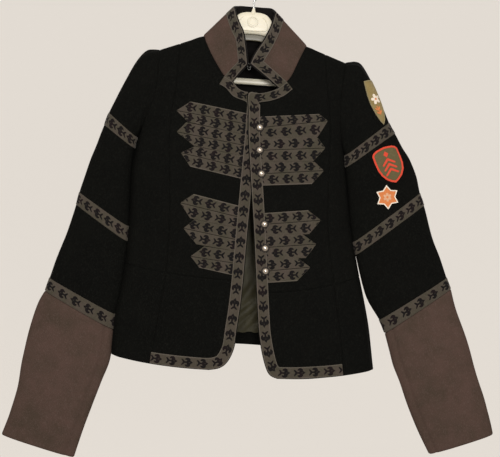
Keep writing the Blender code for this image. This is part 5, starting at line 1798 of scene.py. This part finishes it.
def hanger_frame(wide, thick):
    """Closed rings along the hanger's outline, between its outer edge and its window."""
    right = np.array(HANGER_SECTIONS)
    left = right[-2:0:-1] * np.array([-1.0, 1.0, -1.0, 1.0, 1.0])
    sections = np.concatenate([right, left])
    wanted = np.arange(len(sections) * HANGER_STEPS) / HANGER_STEPS
    low = np.floor(wanted).astype(int)
    around = [sections[(low + step) % len(sections)] for step in (-1, 0, 1, 2)]
    rings = []
    for outer, outer_z, window, window_z, half in catmull_rom(*around, (wanted - low)[:, None]):
        middle = np.array([(outer + window) / 2, 0.0, (outer_z + window_z) / 2])
        reach = np.array([(outer - window) / 2, 0.0, (outer_z - window_z) / 2])
        ring = middle + wide[:, None] * reach
        ring[:, 1] = thick * half
        rings.append(ring)
    return np.array(rings)


def lip_rings(wide, thick):
    """Rings along the lip behind the plate, from its left end to its right one."""
    half = np.array(LIP_ROWS)
    across = np.linspace(-half[-1, 0], half[-1, 0], LIP_STATIONS)
    top, low = (np.interp(np.abs(across), half[:, 0], half[:, k]) for k in (1, 2))
    middle = np.stack([across, np.full(LIP_STATIONS, LIP_MIDDLE_Y), (top + low) / 2], axis=1)
    rise = (top - low)[:, None] / 2 * wide
    depth = np.broadcast_to(LIP_HALF_DEPTH * thick, rise.shape)
    return middle[:, None] + np.stack([np.zeros(rise.shape), depth, rise], axis=2)


def add_hanger(looks):
    """The moulded hanger with its window, the bare disc and frame on its plate, and its hook."""
    angles = np.arange(HANGER_SIDES) * 2 * math.pi / HANGER_SIDES
    section = squared_circle(angles, HANGER_SQUARENESS)
    things = [rings_object("hanger_frame", hanger_frame(*section), closed=True),
              rings_object("hanger_cone", turned_rings(CONE_PROFILE, 40))]
    turns = np.arange(PLATE_SIDES) * 2 * math.pi / PLATE_SIDES
    for radius, wire in PLATE_RINGS:
        route = np.stack([radius * np.cos(turns), np.full(PLATE_SIDES, PLATE_FACE),
                          PLATE_DISC_Z + radius * np.sin(turns)], axis=1)
        ring = tube_rings(np.concatenate([route, route[:2]]), wire, 10, rounded=False)[:-2]
        things.append(rings_object("plate_ring", ring, closed=True))
    for line in PLATE_LINES:
        route = finer_line([(x, PLATE_FACE, z) for x, z in line], 6)
        things.append(rings_object("plate_line", tube_rings(route, PLATE_LINE_WIRE, 8)))
    body = join_objects("hanger_plastic", things)
    lip = rings_object("hanger_lip", lip_rings(*section))
    pivot = Matrix.Translation((0.0, 0.0, HANGER_PIVOT_Z * MM))
    for thing in (body, lip):
        thing.data.transform(pivot @ Matrix.Rotation(HANGER_TILT, 4, "Y") @ pivot.inverted())
    place_piece(body, looks["ivory_plastic"], "ivory_plastic", "hanger_body")
    # The lip's dark olive colour is painted shade under the plate.
    place_piece(lip, looks["shaded_plastic"], "ivory_plastic")
    radius = HOOK_RADIUS + HOOK_WIRE
    route = [(x, 0.0, z) for x, z in HOOK_ROUTE_START]
    for angle in np.linspace(*HOOK_ANGLES, HOOK_STEPS + 1):
        route.append((radius * math.cos(angle), 0.0, radius * math.sin(angle) - HOOK_RADIUS))
    add_wire("hanger_hook", route, HOOK_WIRE, looks["steel_wire"], 18)


def add_wire(node, route, radius, material, sides):
    rings = tube_rings(finer_line(route, 5), radius, sides)
    place_piece(rings_object(f"{node}_wire", rings), material, "steel_wire", node)


def add_buttons(looks, skin):
    """Domed buttons in dark rims on the left front's ribbon; the rims are partly painted contact
    shadow round the domes.
    """
    for number, (across, height) in enumerate(BUTTONS, 1):
        places, facings = skin.seat(np.array([[across, 0.0, height]]), True)
        frame = facing_frame(places[0] + facings[0] * BUTTON_SEAT, facings[0], (0.0, 0.0, 1.0))
        node = f"button_{number}"
        # Each dome sits in a near-black rim that is partly painted contact shadow.
        for part, profile, look, nodes in (("dome", BUTTON_RINGS, "pewter", [node]),
                                           ("rim", BUTTON_RIM_AND_SHADOW, "dark_pewter", [])):
            rings = turned_rings(profile, BUTTON_SIDES)
            piece = rings_object(f"{node}_{part}", rings, closed=part == "rim")
            piece.data.transform(frame)
            place_piece(piece, looks[look], "pewter", *nodes)


def petals(x, y, count, inner, outer, width, turn=0.0):
    """Rounded petals about the middle."""
    angle = np.arctan2(x, y) - turn
    sector = 2 * math.pi / count
    folded = angle - np.round(angle / sector) * sector
    away = np.hypot(x, y)
    middle = (inner + outer) / 2
    return blob(away * np.sin(folded), away * np.cos(folded),
                ((0.0, inner, width * 0.55), (0.0, middle, width), (0.0, outer, width)))


def pennant_blossom(x, y):
    return petals(x - 2.0, y - 1.0, 5, 3.0, 7.0, 2.7)


def pennant_sprig(x, y):
    """A stem with two pairs of leaves, and the blossom's heart above it."""
    x = x + 3.0
    y = y + 8.0
    side = np.abs(x)
    stem = blob(x, y, ((0.0, -3.0, 0.8), (0.5, -12.0, 0.8), (0.0, -19.0, 0.6)))
    leaves = [blob(side, y, ((0.6, low, 0.6), (3.2, low + 2.8, 1.6), (5.0, low + 5.4, 0.4)))
              for low in (-10.5, -17.5)]
    heart = np.hypot(x - 5.0, y - 9.0) - 1.9
    return np.minimum.reduce([stem, *leaves, heart])


def shield_chevrons(x, y):
    """Three bars that rise to the middle, below a small lozenge."""
    side = np.abs(x)
    bars = [blob(side, y, ((0.0, z + 5.0, 1.9), (10.5, z - 3.5, 1.6))) for z in (4.0, -5.0, -14.0)]
    lozenge = np.abs(x) * 0.9 + np.abs(y - 18.0) * 0.75 - 4.2
    return np.minimum.reduce([*bars, lozenge])


def star_rosette(x, y):
    return petals(x, y, 6, 2.6, 5.4, 2.2, STAR_TURN)


def star_heart(x, y):
    return np.hypot(x, y) - 2.1


MOTIF_SHAPES = {"blossom": pennant_blossom, "sprig": pennant_sprig, "chevrons": shield_chevrons,
                "rosette": star_rosette, "heart": star_heart}


def star_outline():
    corners = []
    for corner in range(2 * STAR_POINTS):
        radius = STAR_RADII[corner % 2]
        angle = math.pi * corner / STAR_POINTS + STAR_TURN
        corners.append((radius * math.sin(angle), radius * math.cos(angle)))
    return corners


def add_patches(looks, sleeve):
    """Embroidered patches: a field of cloth, a satin-stitched border and a raised motif."""
    skin, coarse, coarse_normals = sleeve
    outlines = {"pennant_patch": PENNANT, "shield_patch": SHIELD, "star_patch": star_outline()}
    for name, outline in outlines.items():
        field_look, border_look, border_width, motifs = PATCH_LAYERS[name]
        row, column = PATCH_PLACES[name]
        place, normal = surface_point(coarse, coarse_normals, row, column)
        above, _ = surface_point(coarse, coarse_normals, row - 1, column)
        frame = facing_frame(place, normal, above - place)

        def field(x, y):
            return polygon_distance(x, y, outline) + border_width / 2

        def border(x, y):
            away = polygon_distance(x, y, outline)
            return np.maximum(away, -away - border_width)

        layers = [("field", field, field_look, FIELD_TOP, 0.05),
                  ("border", border, border_look, BORDER_TOP, 0.05)]
        for number, (motif, look, top) in enumerate(motifs):
            layers.append((f"motif_{number}", MOTIF_SHAPES[motif], look, top, FIELD_TOP - 0.1))
        for layer, distance, look, top, foot in layers:
            shape = flat_shape(distance, PATCH_REACH, PATCH_CELL)
            plan = [frame @ Vector((x * MM, y * MM, 0.0)) / MM for x, y in shape[0]]
            places, facings = skin.seat(np.array(plan), False)
            piece = applied_object(f"{name}_{layer}", [(shape, places, facings)], top, foot)
            place_piece(piece, looks[look], name, *([name] if layer == "field" else []))


def add_room():
    """A large pale room with a round floor; its soft glow lights the cloth from all sides."""
    profile = finer_line(ROOM_PROFILE, ROOM_STEPS)
    profile[:, 0] = np.maximum(profile[:, 0], ROOM_LEAST_RADIUS)
    room = rings_object("room", turned_rings(profile, ROOM_SIDES))
    room.data.flip_normals()
    look = Look("room_paint", (0.30, 0.29, 0.275), 0.9, specular=0.1)
    look.set("Emission Strength", 1.0)
    height = look.node("ShaderNodeSeparateXYZ")
    look.join(look.coordinates(), height.inputs["Vector"])
    glow = look.node("ShaderNodeValToRGB")
    low, high = ROOM_GLOW_HEIGHTS
    look.join(look.spread(height.outputs["Z"], low, high), glow.inputs["Fac"])
    stops = glow.color_ramp.elements
    for place, _ in ROOM_GLOW_STOPS[1:-1]:
        stops.new(place)
    for stop, (_, share) in zip(stops, ROOM_GLOW_STOPS):
        stop.color = (*(ROOM_GLOW * share), 1.0)
    look.join(glow.outputs["Color"], look.shader.inputs["Emission Color"])
    look.bump(look.noise(3.0, 2.0), 4.0, 0.05)
    room.data.materials.append(look.material)


def add_lights():
    for name, place, aim, size, power, colour in LIGHTS:
        lamp = bpy.data.lights.new(name, "AREA")
        lamp.shape = "RECTANGLE"
        lamp.size, lamp.size_y = size
        lamp.energy = power
        lamp.color = colour
        thing = link(name, lamp)
        thing.location = place
        away = Vector(place) - Vector(aim)
        thing.rotation_euler = away.to_track_quat("Z", "Y").to_euler()


def add_camera():
    camera = bpy.data.cameras.new("camera")
    camera.angle = 2 * math.atan2(*CAMERA_VIEW)
    thing = link("camera", camera)
    thing.matrix_world = (Matrix.Translation(CAMERA_PLACE) @ Matrix.Rotation(CAMERA_TILT, 4, "X")
                          @ Matrix.Rotation(CAMERA_ROLL, 4, "Z"))
    bpy.context.scene.camera = thing


def main():
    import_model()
    looks = {name: make(name, *values) for name, (make, *values) in LOOKS.items()}
    fronts = {side: front_grid(side) for side in SIDE_NAMES}
    back = back_grid()
    skins = add_fronts(looks)
    add_back(looks)
    sleeve = add_sleeves(looks, fronts, back)
    add_collar(looks, fronts, back)
    for side, skin in skins.items():
        add_front_trim(side, skin, looks)
        add_frogs(side, skin, looks)
    add_buttons(looks, skins[LEFT])
    add_patches(looks, sleeve)
    for name, route in CLASP_ROUTES.items():
        add_wire(name, route, CLASP_WIRE, looks["dark_wire"], 10)
    add_hanger(looks)
    add_room()
    add_lights()
    add_camera()
    bpy.context.scene.view_settings.view_transform = "Standard"


main()
